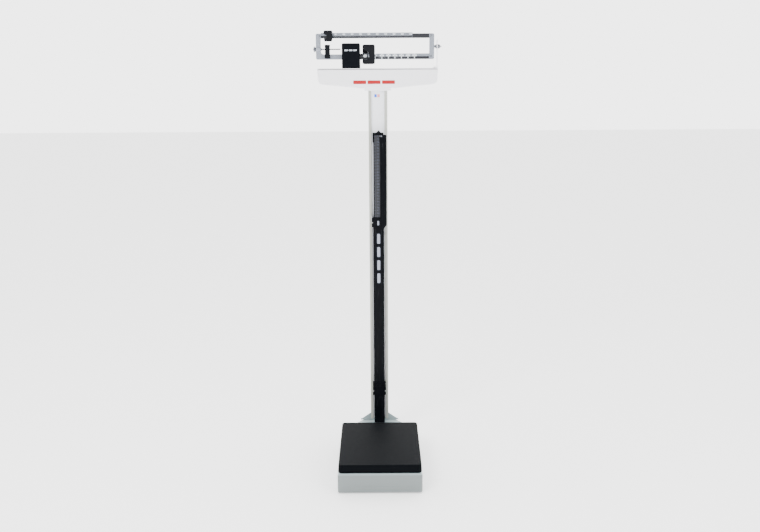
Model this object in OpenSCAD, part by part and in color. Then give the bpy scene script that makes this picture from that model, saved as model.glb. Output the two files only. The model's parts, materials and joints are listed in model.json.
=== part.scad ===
// Physician beam scale: a platform on levers, a hollow column, a two-poise weigh beam and a
// telescoping height rod. X runs left to right, Y front to back and Z up, and the origin is on
// the floor under the middle of the scale. The front of the platform faces -Y.

/* [Base and platform] */
// Width of the base
base_w = 267; // [262:1:280]
// Depth from the front of the base to the end of its tail
base_depth = 505; // [500:1:515]
// Depth of the wide part of the base
wide_depth = 356; // [350:1:360]
// Width of the tail that carries the column
tail_w = 84; // [80:1:90]
// Height of the base's top sheet above the floor
base_top = 66.5; // [66:0.5:68]
// Height of the rubber feet
foot_h = 4.5; // [3:0.5:6]
// Thickness of the base's sheet
sheet = 2.5; // [2:0.1:3]
// Height of the standing surface
platform_top = 93; // [92:0.5:98]
// How far the platform stands inside the base's edge
platform_inset = 1.5; // [1.5:0.5:5]

/* [Levers] */
// Distance from the long lever's fulcrum to its nose
long_lever_reach = 420; // [418:1:422]
// Distance from each platform lever's fulcrum to its load edge
load_offset = 40; // [36:1:44]
// Distance from each platform lever's fulcrum to the stirrup between them
stirrup_reach = 140; // [138:1:142]
// Distance on the beam from its fulcrum edge to its load edge
beam_load_offset = 20; // [18:1:20]
// Distance on the shelf lever from its fulcrum to the rod's eye
shelf_rod_reach = 58.8; // [56:0.1:60]

/* [Column and shelf] */
// Width of the column
column_w = 63.4; // [60:0.1:66]
// Depth of the column
column_d = 38; // [36:1:42]
// Width of the recess down the column's front
recess_w = 43; // [42:0.5:45]
// Depth of that recess
recess_d = 8; // [7:0.5:9]
// Thickness of the column's sheet
column_wall = 1.6; // [1.2:0.1:2]
// Height of the shelf's top
shelf_top = 1303; // [1300:1:1306]
// Length of the shelf
shelf_len = 400; // [395:1:404]
// Depth of the shelf, front to back
shelf_d = 60; // [56:1:64]

/* [Beam] */
// Height of the beam's top edge
beam_top = 1415; // [1414:0.5:1416]
// Left end of the beam
beam_left = -203.5; // [-204:0.5:-203]
// Right end of the beam
beam_right = 187.3; // [187:0.1:188]
// Width of the beam's two end bars
end_bar_w = 16.5; // [15:0.5:18]
// Thickness of the end bars
beam_t = 8; // [7:0.5:9]
// Thickness of the graduated bars
bar_t = 6; // [5:0.5:6.5]
// Place of the beam's fulcrum edge along X
fulcrum_x = -78; // [-80:1:-77]
// Height of the beam's knife edges
edge_z = 1345; // [1344:0.5:1346]
// Distance between the notches of the main bar
notch_pitch = 21.6; // [20:0.1:22]
// Number of notches in the main bar
notch_count = 8; // [6:1:8]

/* [Height rod] */
// Width of the rod's outer case
case_w = 37; // [36:0.5:38]
// Depth of the rod's outer case
case_d = 15; // [14:0.5:16]
// Thickness of the case and of the rods' walls
rod_wall = 0.8; // [0.7:0.1:0.9]
// Room between the case and the front of the column, so that the rods rise clear of the shelf
rod_standoff = 12.5; // [12:0.5:14]
// Height of the measuring arm's hinge with the arm stowed
hinge_z = 1083.5; // [1083:0.5:1085]
// Length of the measuring arm below its hinge
arm_len = 311; // [300:1:318]
// Width of the measuring arm
arm_w = 21; // [20:0.5:22]

/* [Hidden] */
$fn = 48;

steel = [0.70, 0.71, 0.72];
base_grey = [0.66, 0.69, 0.68];
column_paint = [0.80, 0.81, 0.78];
shelf_white = [0.93, 0.93, 0.95];
gloss_black = [0.10, 0.12, 0.16];
rubber_black = [0.17, 0.18, 0.20];
poise_grey = [0.22, 0.22, 0.26];
beam_silver = [0.67, 0.69, 0.73];

// gap between pieces that move past each other
gap = 0.3;
// gap between a knife edge and its bearing
edge_gap = 0.2;
// radial clearance of a shaft that turns in a bore
running = 0.05;
// overshoot of a cutting shape
over = 1;

front_y = -base_depth / 2;
tail_end_y = base_depth / 2;
wide_end_y = front_y + wide_depth;
tail_start_y = tail_end_y - 34.5;
corner_r = 6;
lip = 9;
pan_top = foot_h + sheet;
// share of an inset by which the corners of the tapering tail move forward
taper_shift = tan(atan2((base_w - tail_w) / 2, tail_start_y - wide_end_y) / 2);

column_front = 187.5;
column_y = column_front + column_d / 2;
web_y = column_front + recess_d;
foot_plate_top = base_top + 4;
column_top = 1262;

plate_top = platform_top - 3;
plate_bottom = plate_top - 3.5;
cover_bottom = base_top + 2;
cover_back = wide_end_y;
cover_front = front_y + 5.5;
cover_w = base_w - 2 * platform_inset;

long_fulcrum_y = column_y - long_lever_reach;
short_fulcrum_y = long_fulcrum_y + 2 * stirrup_reach;
stirrup_y = long_fulcrum_y + stirrup_reach;
long_load_y = long_fulcrum_y + load_offset;
short_load_y = short_fulcrum_y - load_offset;
long_z = 40;
short_z = 18;
lever_h = 12;
lever_half = 92;
arm_bar = 16;
stand_x = 96;
stand_w = 14;
knife_h = 6;
knife_half = 3;
nose_start = column_y - 22.5;

beam_load_x = fulcrum_x - beam_load_offset;
shelf_fulcrum_x = shelf_rod_reach;
shelf_edge_z = 1282;
shelf_lever_z = 1276;
shelf_lever_half = 8;
eye_r = 9;
eye_hole = 5.5;
shelf_front = column_y - shelf_d / 2;
shelf_back = column_y + shelf_d / 2;

beam_front = column_y - beam_t / 2;
beam_back = column_y + beam_t / 2;
bar_front = column_y - bar_t / 2;
bar_back = column_y + bar_t / 2;
low_bar_z = 1331.5;
low_bar_top = 1348;
main_bar_top = 1350;
upper_bar_z = 1399.4;
upper_bar_top = 1414.4;
end_left = beam_left + end_bar_w;
end_right = beam_right - end_bar_w;
hub_left = -112;
hub_right = -62;
cover_left = -117.5;
cover_right = -57.8;
box_top = 1383.7;
box_wall = 2;
balance_z = 1364.5;
balance_r = 2;
pointer_z = 1372.3;

case_back = column_front - rod_standoff;
case_front = case_back - case_d;
case_z = base_top + 1;
case_top = 803.5;
middle_w = case_w - 2 * rod_wall - 2 * gap;
middle_d = case_d - 2 * rod_wall - 2 * gap;
middle_bottom = case_z + 6;
middle_top = 806.5;
scale_w = middle_w - 2 * rod_wall - 2 * gap;
scale_d = middle_d - 2 * rod_wall - 2 * gap;
scale_bottom = 338;
rod_y = case_front + case_d / 2;
head_bottom = 1061.5;
head_top = 1093.5;
head_front = case_front - 1.7;
head_back = rod_y + scale_d / 2 + 2.3;
hinge_y = head_front - 6;
shelf_low = 1252;
pin_r = 1.5;
arm_left = 6.8;
arm_sheet = 1.5;
arm_front = hinge_y - 6;
bracket_front = case_front - 2.7;
bracket_half = 23.2;
screw_x = 20.9;

// points along a circle's arc
function arc(cx, cy, r, from, to, steps = 6) =
    [for (i = [0:steps]) let (a = from + (to - from) * i / steps) [cx + r * cos(a), cy + r * sin(a)]];

// a rectangle with rounded corners
function rounded(x0, x1, y0, y1, r) = concat(
    arc(x1 - r, y1 - r, r, 0, 90),
    arc(x0 + r, y1 - r, r, 90, 180),
    arc(x0 + r, y0 + r, r, 180, 270),
    arc(x1 - r, y0 + r, r, 270, 360));

// the base seen from above, d inside its edge
function base_outline(d) = concat(
    arc(-base_w / 2 + corner_r, front_y + corner_r, corner_r - d, 180, 270),
    arc(base_w / 2 - corner_r, front_y + corner_r, corner_r - d, 270, 360),
    [[base_w / 2 - d, wide_end_y - d * taper_shift], [tail_w / 2 - d, tail_start_y - d * taper_shift]],
    arc(tail_w / 2 - corner_r, tail_end_y - corner_r, corner_r - d, 0, 90),
    arc(-tail_w / 2 + corner_r, tail_end_y - corner_r, corner_r - d, 90, 180),
    [[-tail_w / 2 + d, tail_start_y - d * taper_shift], [-base_w / 2 + d, wide_end_y - d * taper_shift]]);

// the shelf seen from the front, d inside its edge
function shelf_outline(d) =
    let (r = 14, half = shelf_len / 2 - d, foot = half - 4, low = shelf_low + d)
    concat(
        [[-half, shelf_top - d], [-foot, low + r]],
        arc(-foot + r, low + r - 1, r, 180, 262, 5),
        [[-56, 1238 + d], [56, 1238 + d]],
        arc(foot - r, low + r - 1, r, 278, 360, 5),
        [[foot, low + r], [half, shelf_top - d]]);

module box(x0, x1, y0, y1, z0, z1) {
    translate([x0, y0, z0]) cube([x1 - x0, y1 - y0, z1 - z0]);
}

// extrudes an outline drawn in X and Z from y0 to y1
module front_view(y0, y1) {
    translate([0, y1, 0]) rotate([90, 0, 0]) linear_extrude(y1 - y0) children();
}

// extrudes an outline drawn in Y and Z from x0 to x1
module side_view(x0, x1) {
    translate([x0, 0, 0]) rotate([90, 0, 90]) linear_extrude(x1 - x0) children();
}

module rod_x(x0, x1, y, z, r) {
    translate([x0, y, z]) rotate([0, 90, 0]) cylinder(r = r, h = x1 - x0);
}

module rod_y(y0, y1, x, z, r) {
    translate([x, y1, z]) rotate([90, 0, 0]) cylinder(r = r, h = y1 - y0);
}

// both sides of the scale
module both_sides() {
    children();
    mirror([1, 0, 0]) children();
}

// a knife edge along X at y and z; up is 1 for an edge on top and -1 for one underneath
module knife_x(x0, x1, y, z, up) {
    side_view(x0, x1) polygon([[y, z], [y + knife_half, z - up * knife_h], [y - knife_half, z - up * knife_h]]);
}

// a knife edge along Y at x and z
module knife_y(y0, y1, x, z, up) {
    front_view(y0, y1) polygon([[x, z], [x + knife_half, z - up * knife_h], [x - knife_half, z - up * knife_h]]);
}

// a bearing block along X with a wide V that faces the knife edge
module bearing_x(x0, x1, y, z, base_z, up) {
    reach = 5;
    half = 8;
    side_view(x0, x1) polygon([
        [y - half, base_z], [y + half, base_z], [y + half, z - up * reach],
        [y, z + up * edge_gap], [y - half, z - up * reach]]);
}

// a ring with a round hole, standing in the XZ or YZ plane
module eye(turn, z) {
    translate([0, column_y, z]) rotate([90, 0, turn]) difference() {
        cylinder(r = eye_r, h = 5, center = true);
        cylinder(r = eye_hole, h = 5 + 2 * over, center = true);
    }
}

module tube(w, d, y, z0, z1, wall) {
    difference() {
        box(-w / 2, w / 2, y - d / 2, y + d / 2, z0, z1);
        box(-w / 2 + wall, w / 2 - wall, y - d / 2 + wall, y + d / 2 - wall, z0 - over, z1 + over);
    }
}

// --- base ---

module foot_bolt_places() {
    for (x = [-40, 40]) for (y = [column_y - 7, column_y + 7]) translate([x, y, 0]) children();
}

module foot_places() {
    for (x = [-110, 110]) for (y = [front_y + 24, wide_end_y - 22]) translate([x, y, 0]) children();
    for (x = [-22, 22]) translate([x, tail_end_y - 18, 0]) children();
}

module base_housing() {
    color(base_grey) difference() {
        translate([0, 0, foot_h]) linear_extrude(base_top - foot_h) polygon(base_outline(0));
        translate([0, 0, foot_h - over]) linear_extrude(base_top - sheet - foot_h + over)
            polygon(base_outline(sheet));
        translate([0, 0, base_top - sheet - over]) linear_extrude(sheet + 2 * over)
            polygon(rounded(-base_w / 2 + lip, base_w / 2 - lip, front_y + lip, wide_end_y - lip, 6));
        translate([0, column_y, base_top - sheet - over]) cylinder(r = 12, h = sheet + 2 * over);
        foot_bolt_places() translate([0, 0, base_top - sheet - over]) cylinder(r = 4.2, h = sheet + 2 * over);
    }
}

module base_pan() {
    color(base_grey) difference() {
        translate([0, 0, foot_h]) linear_extrude(sheet) polygon(base_outline(sheet));
        foot_places() translate([0, 0, foot_h - over]) cylinder(r = 3, h = sheet + 2 * over);
    }
}

module base_feet() {
    color(rubber_black) foot_places() {
        cylinder(r = 14, h = foot_h);
        cylinder(r = 3, h = pan_top + 4);
        translate([0, 0, pan_top]) cylinder(r = 6, h = 3);
    }
}

module lever_stands() {
    color(steel) both_sides() {
        bearing_x(stand_x, stand_x + stand_w, long_fulcrum_y, long_z + 2, pan_top, -1);
        bearing_x(stand_x, stand_x + stand_w, short_fulcrum_y, short_z + 2, pan_top, -1);
    }
}

module column_foot() {
    half = column_w / 2;
    foot_half = 68;
    plate_front = column_front + 3.5;
    color(base_grey) {
        difference() {
            translate([0, 0, base_top]) linear_extrude(4) polygon([
                [-foot_half, plate_front], [-half, plate_front], [-half, column_front], [half, column_front],
                [half, plate_front], [foot_half, plate_front], [tail_w / 2 - 2, tail_start_y - 1],
                [tail_w / 2 - 2, tail_start_y + 14], [-tail_w / 2 + 2, tail_start_y + 14],
                [-tail_w / 2 + 2, tail_start_y - 1]]);
            translate([0, column_y, base_top - over]) cylinder(r = 12, h = 4 + 2 * over);
            foot_bolt_places() translate([0, 0, base_top - over]) cylinder(r = 4.2, h = 4 + 2 * over);
        }
        // one gusset on each side of the column
        both_sides() front_view(column_front + 0.5, plate_front)
            polygon([[half, base_top], [foot_half, base_top], [foot_half, base_top + 1.5], [half, 92.5]]);
    }
}

module foot_bolts() {
    color(steel) foot_bolt_places() {
        translate([0, 0, pan_top + 40]) cylinder(r = 4, h = foot_plate_top - pan_top - 40);
        translate([0, 0, foot_plate_top]) cylinder(r = 6, h = 4.5, $fn = 6);
        translate([0, 0, base_top - sheet - 4.5]) difference() {
            cylinder(r = 6, h = 4.5, $fn = 6);
            translate([0, 0, -over]) cylinder(r = 4, h = 4.5 + 2 * over);
        }
    }
}

// --- platform ---

module platform_cover() {
    skirt = 3;
    color(rubber_black) difference() {
        translate([0, 0, cover_bottom]) linear_extrude(platform_top - cover_bottom)
            polygon(rounded(-cover_w / 2, cover_w / 2, cover_front, cover_back, 11));
        translate([0, 0, cover_bottom - over]) linear_extrude(plate_top - cover_bottom + over)
            polygon(rounded(-cover_w / 2 + skirt, cover_w / 2 - skirt, cover_front + skirt, cover_back - skirt, 8));
    }
}

module platform_plate() {
    inner = 3;
    rim_bottom = cover_bottom + 3;
    color(steel) difference() {
        translate([0, 0, rim_bottom]) linear_extrude(plate_top - rim_bottom)
            polygon(rounded(-cover_w / 2 + inner, cover_w / 2 - inner, cover_front + inner, cover_back - inner, 8));
        translate([0, 0, rim_bottom - over]) linear_extrude(plate_bottom - rim_bottom + over)
            polygon(rounded(-cover_w / 2 + 6, cover_w / 2 - 6, cover_front + 6, cover_back - 6, 5));
    }
}

module platform_shoes() {
    color(steel) both_sides() {
        bearing_x(stand_x, stand_x + stand_w, long_load_y, long_z + 10, plate_bottom, 1);
        bearing_x(stand_x, stand_x + stand_w, short_load_y, short_z + 10, plate_bottom, 1);
    }
}

// --- platform levers ---

module long_lever_pivots() {
    color(steel) both_sides() {
        knife_x(lever_half - 10, stand_x + stand_w, long_fulcrum_y, long_z + 2, -1);
        knife_x(lever_half - 10, stand_x + stand_w, long_load_y, long_z + 10, 1);
    }
    color(steel) knife_x(-6, 6, stirrup_y, long_z + lever_h + 2, 1);
    color(steel) knife_x(-10, 10, column_y, long_z + 4, -1);
}

module long_lever() {
    bend_y = long_load_y + 8;
    neck_y = 70;
    neck = 10;
    // half width of the lever's slanting side at y
    function side(y) = lever_half - (lever_half - neck) * (y - bend_y) / (neck_y - bend_y);
    color(base_grey) difference() {
        translate([0, 0, long_z]) linear_extrude(lever_h) difference() {
            polygon([
                [-lever_half, long_fulcrum_y - 8], [lever_half, long_fulcrum_y - 8], [lever_half, bend_y],
                [neck, neck_y], [neck, nose_start], [-neck, nose_start], [-neck, neck_y], [-lever_half, bend_y]]);
            polygon([
                [-lever_half + arm_bar, long_fulcrum_y + 8], [lever_half - arm_bar, long_fulcrum_y + 8],
                [lever_half - arm_bar, bend_y], [side(stirrup_y - 8) - arm_bar, stirrup_y - 7],
                [-side(stirrup_y - 8) + arm_bar, stirrup_y - 7], [-lever_half + arm_bar, bend_y]]);
            polygon([
                [-side(stirrup_y + 8) + arm_bar, stirrup_y + 7], [side(stirrup_y + 8) - arm_bar, stirrup_y + 7],
                [side(20) - arm_bar, 20], [-side(20) + arm_bar, 20]]);
        }
        long_lever_pivots();
    }
}

module nose_iron() {
    end = column_y + 10.5;
    color(steel) difference() {
        box(-10, 10, nose_start, end, long_z, long_z + lever_h);
        box(-4, 4, nose_start + 12, end + over, long_z - over, long_z + lever_h + over);
        long_lever_pivots();
    }
}

module short_lever_pivots() {
    color(steel) both_sides() {
        knife_x(lever_half - 10, stand_x + stand_w, short_fulcrum_y, short_z + 2, -1);
        knife_x(lever_half - 10, stand_x + stand_w, short_load_y, short_z + 10, 1);
    }
    color(steel) knife_x(-10, 10, stirrup_y, short_z + 4, -1);
}

module short_lever() {
    bend_y = short_load_y - 6;
    color(base_grey) difference() {
        translate([0, 0, short_z]) linear_extrude(lever_h) difference() {
            polygon([
                [lever_half, short_fulcrum_y + 8], [-lever_half, short_fulcrum_y + 8], [-lever_half, bend_y],
                [-10, stirrup_y + 12], [-10, stirrup_y - 8], [10, stirrup_y - 8], [10, stirrup_y + 12],
                [lever_half, bend_y]]);
            polygon([
                [lever_half - arm_bar, short_fulcrum_y - 8], [-lever_half + arm_bar, short_fulcrum_y - 8],
                [-lever_half + arm_bar, bend_y + 7], [-8, stirrup_y + 32], [8, stirrup_y + 32],
                [lever_half - arm_bar, bend_y + 7]]);
            polygon([[-4, stirrup_y - 9], [4, stirrup_y - 9], [4, stirrup_y + 13], [-4, stirrup_y + 13]]);
        }
        short_lever_pivots();
    }
}

// the loop that hangs from the long lever and carries the short lever's nose
module lever_stirrup() {
    top = long_z + lever_h + 2 + edge_gap;
    bottom = short_z + 4 - edge_gap;
    color(steel) difference() {
        box(-3, 3, stirrup_y - 12, stirrup_y + 12, bottom - 4, top + 4);
        box(-3 - over, 3 + over, stirrup_y - 8, stirrup_y + 8, bottom, top);
    }
}

module steelyard_rod() {
    low_eye = long_z + 4 - edge_gap + eye_hole;
    high_eye = shelf_edge_z + edge_gap - eye_hole;
    color(steel) {
        eye(90, low_eye);
        eye(0, high_eye);
        translate([0, column_y, low_eye + eye_r - 1.5])
            cylinder(r = 2, h = high_eye - low_eye - 2 * eye_r + 3);
    }
}

// --- column ---

module column() {
    half = column_w / 2;
    back = column_front + column_d;
    color(column_paint) translate([0, 0, foot_plate_top]) linear_extrude(column_top - foot_plate_top)
        difference() {
            polygon([
                [-half, column_front], [-recess_w / 2, column_front], [-recess_w / 2, web_y],
                [recess_w / 2, web_y], [recess_w / 2, column_front], [half, column_front],
                [half, back], [-half, back]]);
            polygon([
                [-half + column_wall, column_front + column_wall],
                [-recess_w / 2 - column_wall, column_front + column_wall],
                [-recess_w / 2 - column_wall, web_y + column_wall],
                [recess_w / 2 + column_wall, web_y + column_wall],
                [recess_w / 2 + column_wall, column_front + column_wall],
                [half - column_wall, column_front + column_wall],
                [half - column_wall, back - column_wall],
                [-half + column_wall, back - column_wall]]);
        }
}

module front_label() {
    color("white") box(-12.5, 7.3, web_y - 0.3, web_y, 1204, 1223);
}

// --- shelf ---

module shelf_lever_pivots() {
    reach = 14.5;
    color(steel) {
        knife_y(column_y - reach, column_y + reach, beam_load_x, shelf_edge_z, -1);
        knife_y(column_y - shelf_lever_half, column_y + shelf_lever_half, 0, shelf_edge_z, 1);
        knife_y(column_y - reach, column_y + reach, shelf_fulcrum_x, shelf_edge_z, -1);
    }
}

module shelf_lever() {
    color(base_grey) difference() {
        box(beam_load_x - 8, shelf_fulcrum_x + 10, column_y - shelf_lever_half, column_y + shelf_lever_half,
            shelf_lever_z, shelf_lever_z + lever_h);
        box(-11, 11, column_y - 4, column_y + 4, shelf_lever_z - over, shelf_lever_z + lever_h + over);
        shelf_lever_pivots();
    }
}

// a post with a wide V on top, across the knife edge at x and z
module v_post(x, z, y0, y1, base_z) {
    front_view(y0, y1) polygon([
        [x - 7, base_z], [x + 7, base_z], [x + 7, z + 4.5], [x, z - edge_gap], [x - 7, z + 4.5]]);
}

module shelf_lever_stand() {
    beam_z = 1262;
    color(steel) {
        box(shelf_fulcrum_x - 9, shelf_fulcrum_x + 9, shelf_front + sheet, shelf_back - sheet, beam_z, beam_z + 5);
        v_post(shelf_fulcrum_x, shelf_edge_z, column_y - 14.5, column_y - 9.5, beam_z + 5);
        v_post(shelf_fulcrum_x, shelf_edge_z, column_y + 9.5, column_y + 14.5, beam_z + 5);
    }
}

module shelf_screw_places() {
    for (y = [column_front + 8, column_front + 30]) translate([0, y, 1250]) children();
}

module beam_shelf() {
    half = column_w / 2;
    back = column_front + column_d;
    color(shelf_white) difference() {
        union() {
            difference() {
                front_view(shelf_front, shelf_back) polygon(shelf_outline(0));
                front_view(shelf_front + sheet, shelf_back - sheet) polygon(shelf_outline(sheet));
            }
            // collar round the head of the column
            difference() {
                box(-half - 13, half + 13, shelf_front + 4, shelf_back - 4, 1230, 1242);
                box(-half - 10.5, half + 10.5, shelf_front + 6.5, shelf_back - 6.5, 1229, 1235);
            }
            box(-half - 3, half + 3, column_front - 3, back + 3, 1235, column_top);
        }
        box(-half, half, column_front, back, 1229, column_top + over);
        box(beam_load_x - 10, beam_load_x + 10, column_y - 17, column_y + 17, shelf_top - sheet - over,
            shelf_top + over);
        both_sides() shelf_screw_places() rod_x(half - over, half + 4, 0, 0, 2);
    }
}

module shelf_screws() {
    half = column_w / 2;
    color(steel) both_sides() shelf_screw_places() {
        rod_x(half, half + 3, 0, 0, 2);
        rod_x(half + 3, half + 5.2, 0, 0, 4);
    }
}

module link_window() {
    box(beam_load_x - 9, beam_load_x + 8, column_y - 17, column_y + 17, shelf_top - over, shelf_top + 4);
}

module stand_screw_places() {
    for (x = [hub_left + 4, hub_right - 3]) for (y = [column_y - 19, column_y + 19])
        translate([x, y, shelf_top - sheet]) children();
}

module trig_screw_places() {
    for (y = [column_y - 9, column_y + 9]) translate([189, y, shelf_top - sheet]) children();
}

module fulcrum_stand() {
    bearing_h = 6;
    color(steel) difference() {
        union() {
            box(hub_left, hub_right + 1, column_y - 23, column_y + 23, shelf_top, shelf_top + 3);
            for (y = [column_y - 20.5, column_y + 15.5])
                box(fulcrum_x - 6, fulcrum_x + 6, y, y + 5, shelf_top + 3, edge_z - bearing_h);
        }
        link_window();
        stand_screw_places() cylinder(r = 1.6, h = 8);
    }
}

module fulcrum_bearings() {
    bearing_h = 6;
    color(steel) for (y = [column_y - 20.5, column_y + 15.5]) front_view(y, y + 5) polygon([
        [fulcrum_x - 6, edge_z - bearing_h], [fulcrum_x + 6, edge_z - bearing_h], [fulcrum_x + 6, edge_z + 4],
        [fulcrum_x, edge_z - edge_gap], [fulcrum_x - 6, edge_z + 4]]);
}

module fulcrum_cover() {
    cover_half = 25;
    color(gloss_black) difference() {
        front_view(column_y - cover_half, column_y + cover_half)
            polygon(concat(
                arc(cover_right - 5, box_top - 5, 5, 0, 90), arc(cover_left + 5, box_top - 5, 5, 90, 180),
                [[cover_left, shelf_top], [cover_right, shelf_top]]));
        front_view(column_y - cover_half + box_wall, column_y + cover_half - box_wall)
            polygon(concat(
                arc(cover_right - 5, box_top - 5, 3, 0, 90), arc(cover_left + 5, box_top - 5, 3, 90, 180),
                [[cover_left + box_wall, shelf_top - over], [cover_right - box_wall, shelf_top - over]]));
        box(cover_left - over, cover_right + over, column_y - 8, column_y + 8, shelf_top - over, 1356);
    }
}

module trig_loop() {
    x0 = 195.5;
    x1 = 198;
    color(shelf_white) {
        side_view(x0, x1) difference() {
            polygon(rounded(column_y - 12, column_y + 12, shelf_top, 1394, 3));
            polygon(rounded(column_y - 8, column_y + 8, 1352, 1390.5, 2));
        }
        difference() {
            box(182, x0, column_y - 12, column_y + 12, shelf_top, shelf_top + 2);
            trig_screw_places() cylinder(r = 1.6, h = 8);
        }
    }
}

module shelf_top_screws() {
    color(steel) {
        stand_screw_places() {
            translate([0, 0, sheet]) cylinder(r = 1.6, h = 3);
            translate([0, 0, sheet + 3]) cylinder(r = 3, h = 1.8);
        }
        trig_screw_places() {
            translate([0, 0, sheet]) cylinder(r = 1.6, h = 2);
            translate([0, 0, sheet + 2]) cylinder(r = 3, h = 1.8);
        }
    }
}

module beam_link() {
    top = edge_z + edge_gap;
    bottom = shelf_edge_z - edge_gap;
    tie_z = shelf_lever_z - 5;
    color(steel) for (y = [column_y - 13.5, column_y + 10.5]) front_view(y, y + 3) difference() {
        polygon([
            [beam_load_x - 7, tie_z], [beam_load_x + 7, tie_z],
            [beam_load_x + 7, top + 5], [beam_load_x - 7, top + 5]]);
        polygon([
            [beam_load_x - 4.5, top - 10], [beam_load_x + 4.5, top - 10],
            [beam_load_x + 4.5, top], [beam_load_x - 4.5, top]]);
        polygon([
            [beam_load_x - 4.5, bottom], [beam_load_x + 4.5, bottom],
            [beam_load_x + 4.5, bottom + 10], [beam_load_x - 4.5, bottom + 10]]);
    }
    color(steel) box(beam_load_x - 7, beam_load_x + 7, column_y - 13.5, column_y + 13.5, tie_z, tie_z + 3);
}

// --- beam ---

module fulcrum_pivot() {
    color(steel) knife_y(column_y - 20.5, column_y + 20.5, fulcrum_x, edge_z, -1);
}

module load_pivot() {
    color(steel) knife_y(column_y - 14.5, column_y + 14.5, beam_load_x, edge_z, 1);
}

module rivet_places() {
    for (x = [hub_right - 5, end_right + 5]) translate([x, 0, 1341]) children();
    for (x = [end_left - 5, end_right + 5]) translate([x, 0, 1406.5]) children();
}

module beam_rivets() {
    color(steel) rivet_places() {
        rod_y(beam_front, beam_back, 0, 0, 2);
        rod_y(beam_front - 1.2, beam_front, 0, 0, 3.4);
        rod_y(beam_back, beam_back + 1.2, 0, 0, 3.4);
    }
}

module rivet_holes() {
    rivet_places() rod_y(beam_front - over, beam_back + over, 0, 0, 2);
}

module beam_frame() {
    color(beam_silver) difference() {
        union() {
            front_view(beam_front, beam_back) polygon(concat(
                arc(beam_left + 5, low_bar_z + 5, 5, 180, 270),
                [[hub_right, low_bar_z], [hub_right, 1356], [hub_right - 6, 1362], [hub_left + 6, 1362],
                    [hub_left, 1356], [hub_left, low_bar_top]],
                arc(end_left + 8, low_bar_top + 8, 8, 270, 180),
                arc(end_left - 4, beam_top - 4, 4, 0, 90),
                arc(beam_left + 4, beam_top - 4, 4, 90, 180)));
            rod_x(beam_left, end_left, column_y, balance_z, 8.5);
        }
        rod_x(beam_left - over, end_left + over, column_y, balance_z, balance_r + running);
        box(hub_right - 12, hub_right + over, bar_front, bar_back, low_bar_z - over, main_bar_top);
        box(end_left - 10, end_left + over, bar_front, bar_back, upper_bar_z, upper_bar_top);
        fulcrum_pivot();
        load_pivot();
        rivet_holes();
    }
}

module beam_end() {
    color(beam_silver) difference() {
        front_view(beam_front, beam_back) polygon(rounded(end_right, beam_right, low_bar_z, beam_top - 1, 4));
        box(end_right - over, end_right + 10, bar_front, bar_back, low_bar_z - over, main_bar_top);
        box(end_right - over, end_right + 10, bar_front, bar_back, upper_bar_z, upper_bar_top);
        rod_x(beam_right - 8, beam_right + over, column_y, pointer_z, 3);
        rivet_holes();
    }
}

module main_bar() {
    notch = 2.4;
    first = -29;
    color(beam_silver) difference() {
        box(hub_right - 12, end_right + 10, bar_front, bar_back, low_bar_z, main_bar_top);
        for (i = [0:notch_count - 1]) translate([first + i * notch_pitch, 0, main_bar_top])
            front_view(bar_front - over, bar_back + over) polygon([[-notch, over], [-notch, 0], [0, -notch],
                [notch, 0], [notch, over]]);
        rivet_holes();
    }
}

module fractional_bar() {
    color(beam_silver) difference() {
        box(end_left - 10, end_right + 10, bar_front, bar_back, upper_bar_z, upper_bar_top);
        rivet_holes();
    }
}

module pointer() {
    tip = 213;
    color(steel) translate([0, column_y, pointer_z]) {
        rod_x(beam_right - 8, beam_right + 2, 0, 0, 3);
        rotate([0, 90, 0]) rotate_extrude() polygon(concat(
            [[0, beam_right]], [for (a = [0:15:165]) [1.2 + 6.2 * sin(a), beam_right + 10.5 - 10.5 * cos(a)]],
            [[1.2, beam_right + 21], [0.8, tip - 0.8], [0, tip]]));
    }
}

module balance_rod() {
    color(steel) rod_x(-213, -122, column_y, balance_z, balance_r);
}

module balance_knob() {
    teeth = 24;
    color(steel) difference() {
        union() {
            rod_x(-211.5, beam_left - gap, column_y, balance_z, 7.6);
            for (i = [0:teeth - 1]) translate([0, column_y, balance_z]) rotate([i * 360 / teeth, 0, 0])
                box(-211, -204.3, -0.6, 0.6, 7, 8.1);
            rod_x(end_left + gap, end_left + 3.3, column_y, balance_z, 4);
        }
        rod_x(-214, -180, column_y, balance_z, balance_r);
    }
}

module balance_weight() {
    x = -165.6;
    color(gloss_black) difference() {
        front_view(column_y - 13, column_y + 13) polygon([
            [x - 9, 1334.8], [x + 9, 1334.8], [x + 9, 1343], [x + 8, 1352], [x + 8, 1371], [x + 8.6, 1376],
            [x + 8.6, 1379.2], [x - 8.6, 1379.2], [x - 8.6, 1376], [x - 8, 1371], [x - 8, 1352], [x - 9, 1343]]);
        rod_x(x - 10, x + 10, column_y, balance_z, balance_r + running);
        box(x - 10, x + 10, beam_front - gap, beam_back + gap, 1330, low_bar_top + gap);
    }
}

module main_poise() {
    left = -49.7;
    right = -8.6;
    tip = -27.5;
    low = low_bar_z - gap;
    color(poise_grey) difference() {
        front_view(column_y - 17, column_y + 17) polygon(rounded(left, right, 1315.9, 1379.5, 5));
        box(left - over, right + over, bar_front - gap, bar_back + gap, low, main_bar_top + 8);
        front_view(column_y - 18, bar_front) polygon([
            [left - over, 1364], [tip - 6, 1357], [tip, 1351], [tip, 1341], [tip - 6, low], [left - over, low]]);
    }
}

module poise_pawl() {
    x = -29;
    seat = main_bar_top + 8;
    color(steel) front_view(bar_front, bar_back) polygon([
        [x - 4, seat], [x - 4, seat - 3], [x, main_bar_top + gap], [x + 4, seat - 3], [x + 4, seat]]);
}

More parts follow.
